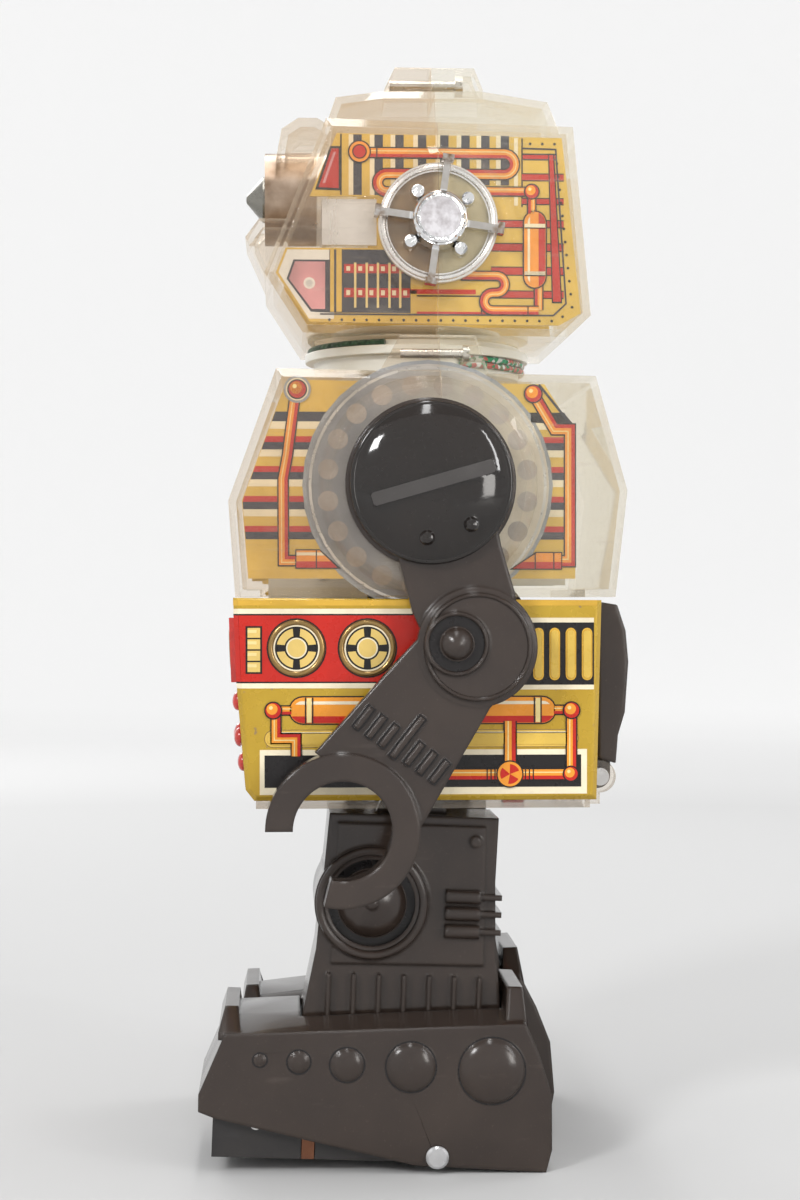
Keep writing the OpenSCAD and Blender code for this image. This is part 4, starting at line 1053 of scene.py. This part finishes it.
floor_shader = Shader("floor_paper")
outward = floor_shader.nodes.new("ShaderNodeVectorMath")
outward.operation = "LENGTH"
floor_shader.link(floor_shader.coords, outward.inputs[0])
tone = floor_shader.between(outward.outputs["Value"], 0.3, 1.2, 0.0, 1.0)
floor_shader.set(Base_Color=floor_shader.mix(tone, (NEAR_TONE,) * 3, (FAR_TONE,) * 3))
floor_shader.set(Roughness=0.9, Specular_IOR_Level=0.1)
floor_shader.set(Emission_Color=(1.0, 1.0, 1.0))
glow = floor_shader.between(outward.outputs["Value"], 1.0, 2.0, 0.0, WALL_GLOW)
floor_shader.set(Emission_Strength=glow)


def sweep():
    """A round pale floor that curves up into a wall, the same seen from every side."""
    profile = [(1.0, 0.0), (FLAT_R, 0.0)]
    bends = 12
    for i in range(1, bends + 1):
        a = math.radians(90.0 * i / bends)
        profile.append((FLAT_R + BEND_R * math.sin(a), BEND_R * (1.0 - math.cos(a))))
    profile.append((FLAT_R + BEND_R, WALL_TOP))
    steps = 64
    verts = [(0.0, 0.0, 0.0)]
    for r, z in profile:
        for i in range(steps):
            a = 2 * math.pi * i / steps
            verts.append((r * math.cos(a), r * math.sin(a), z))
    faces = []
    for i in range(steps):
        faces.append((0, 1 + i, 1 + (i + 1) % steps))
    for k in range(len(profile) - 1):
        a, b = 1 + k * steps, 1 + (k + 1) * steps
        for i in range(steps):
            j = (i + 1) % steps
            faces.append((a + i, b + i, b + j, a + j))
    mesh = bpy.data.meshes.new("studio_sweep")
    mesh.from_pydata(verts, [], faces)
    mesh.materials.append(floor_shader.mat)
    mesh.polygons.foreach_set("use_smooth", [True] * len(faces))
    obj = bpy.data.objects.new("studio_sweep", mesh)
    bpy.context.scene.collection.objects.link(obj)


sweep()


def area_light(name, place, target, size, power, colour=(1, 1, 1)):
    data = bpy.data.lights.new(name, "AREA")
    data.shape = "RECTANGLE"
    data.size, data.size_y = size
    data.energy = power
    data.color = colour
    obj = bpy.data.objects.new(name, data)
    obj.location = place
    aim = Vector(target) - Vector(place)
    obj.rotation_euler = aim.to_track_quat("-Z", "Y").to_euler()
    obj.visible_camera = False
    bpy.context.scene.collection.objects.link(obj)


MIDDLE = (0.0, 0.0, 0.15)
area_light("key", (1.2, -0.9, 0.95), MIDDLE, (0.28, 0.28), 11.0)
area_light("window", (1.3, 0.9, 0.30), MIDDLE, (0.3, 0.5), 4.0, (1.0, 0.97, 0.93))
area_light("top", (0.45, 0.0, 1.3), MIDDLE, (0.10, 0.9), 3.5)
area_light("top_far", (-0.45, 0.0, 1.3), MIDDLE, (0.10, 0.9), 2.5)
area_light("edge", (0.9, 1.0, 0.75), MIDDLE, (0.08, 0.7), 3.0)
area_light("far", (-1.3, -0.6, 0.9), MIDDLE, (0.6, 0.6), 6.0)
area_light("behind", (-0.6, 1.3, 0.9), MIDDLE, (0.6, 0.6), 5.0)

world = bpy.data.worlds.new("studio")
world.use_nodes = True
world.node_tree.nodes["Background"].inputs["Color"].default_value = (0.86, 0.86, 0.86, 1.0)
world.node_tree.nodes["Background"].inputs["Strength"].default_value = 0.6
bpy.context.scene.world = world
bpy.context.scene.view_settings.view_transform = "Standard"

# Camera at the robot's left side, a little in front of square
DISTANCE = 0.620
YAW = math.radians(3.0)
EYE_Z = 0.1454
AIM_Y = -0.002
camera_data = bpy.data.cameras.new("camera")
camera_data.lens = 67.71
camera_data.sensor_width = 36.0
camera = bpy.data.objects.new("camera", camera_data)
camera.location = (DISTANCE * math.cos(YAW), AIM_Y - DISTANCE * math.sin(YAW), EYE_Z)
look = Vector((0.0, AIM_Y, EYE_Z)) - camera.location
camera.rotation_euler = look.to_track_quat("-Z", "Y").to_euler()
bpy.context.scene.collection.objects.link(camera)
bpy.context.scene.camera = camera
bpy.context.scene.cycles.transparent_max_bounces = 24
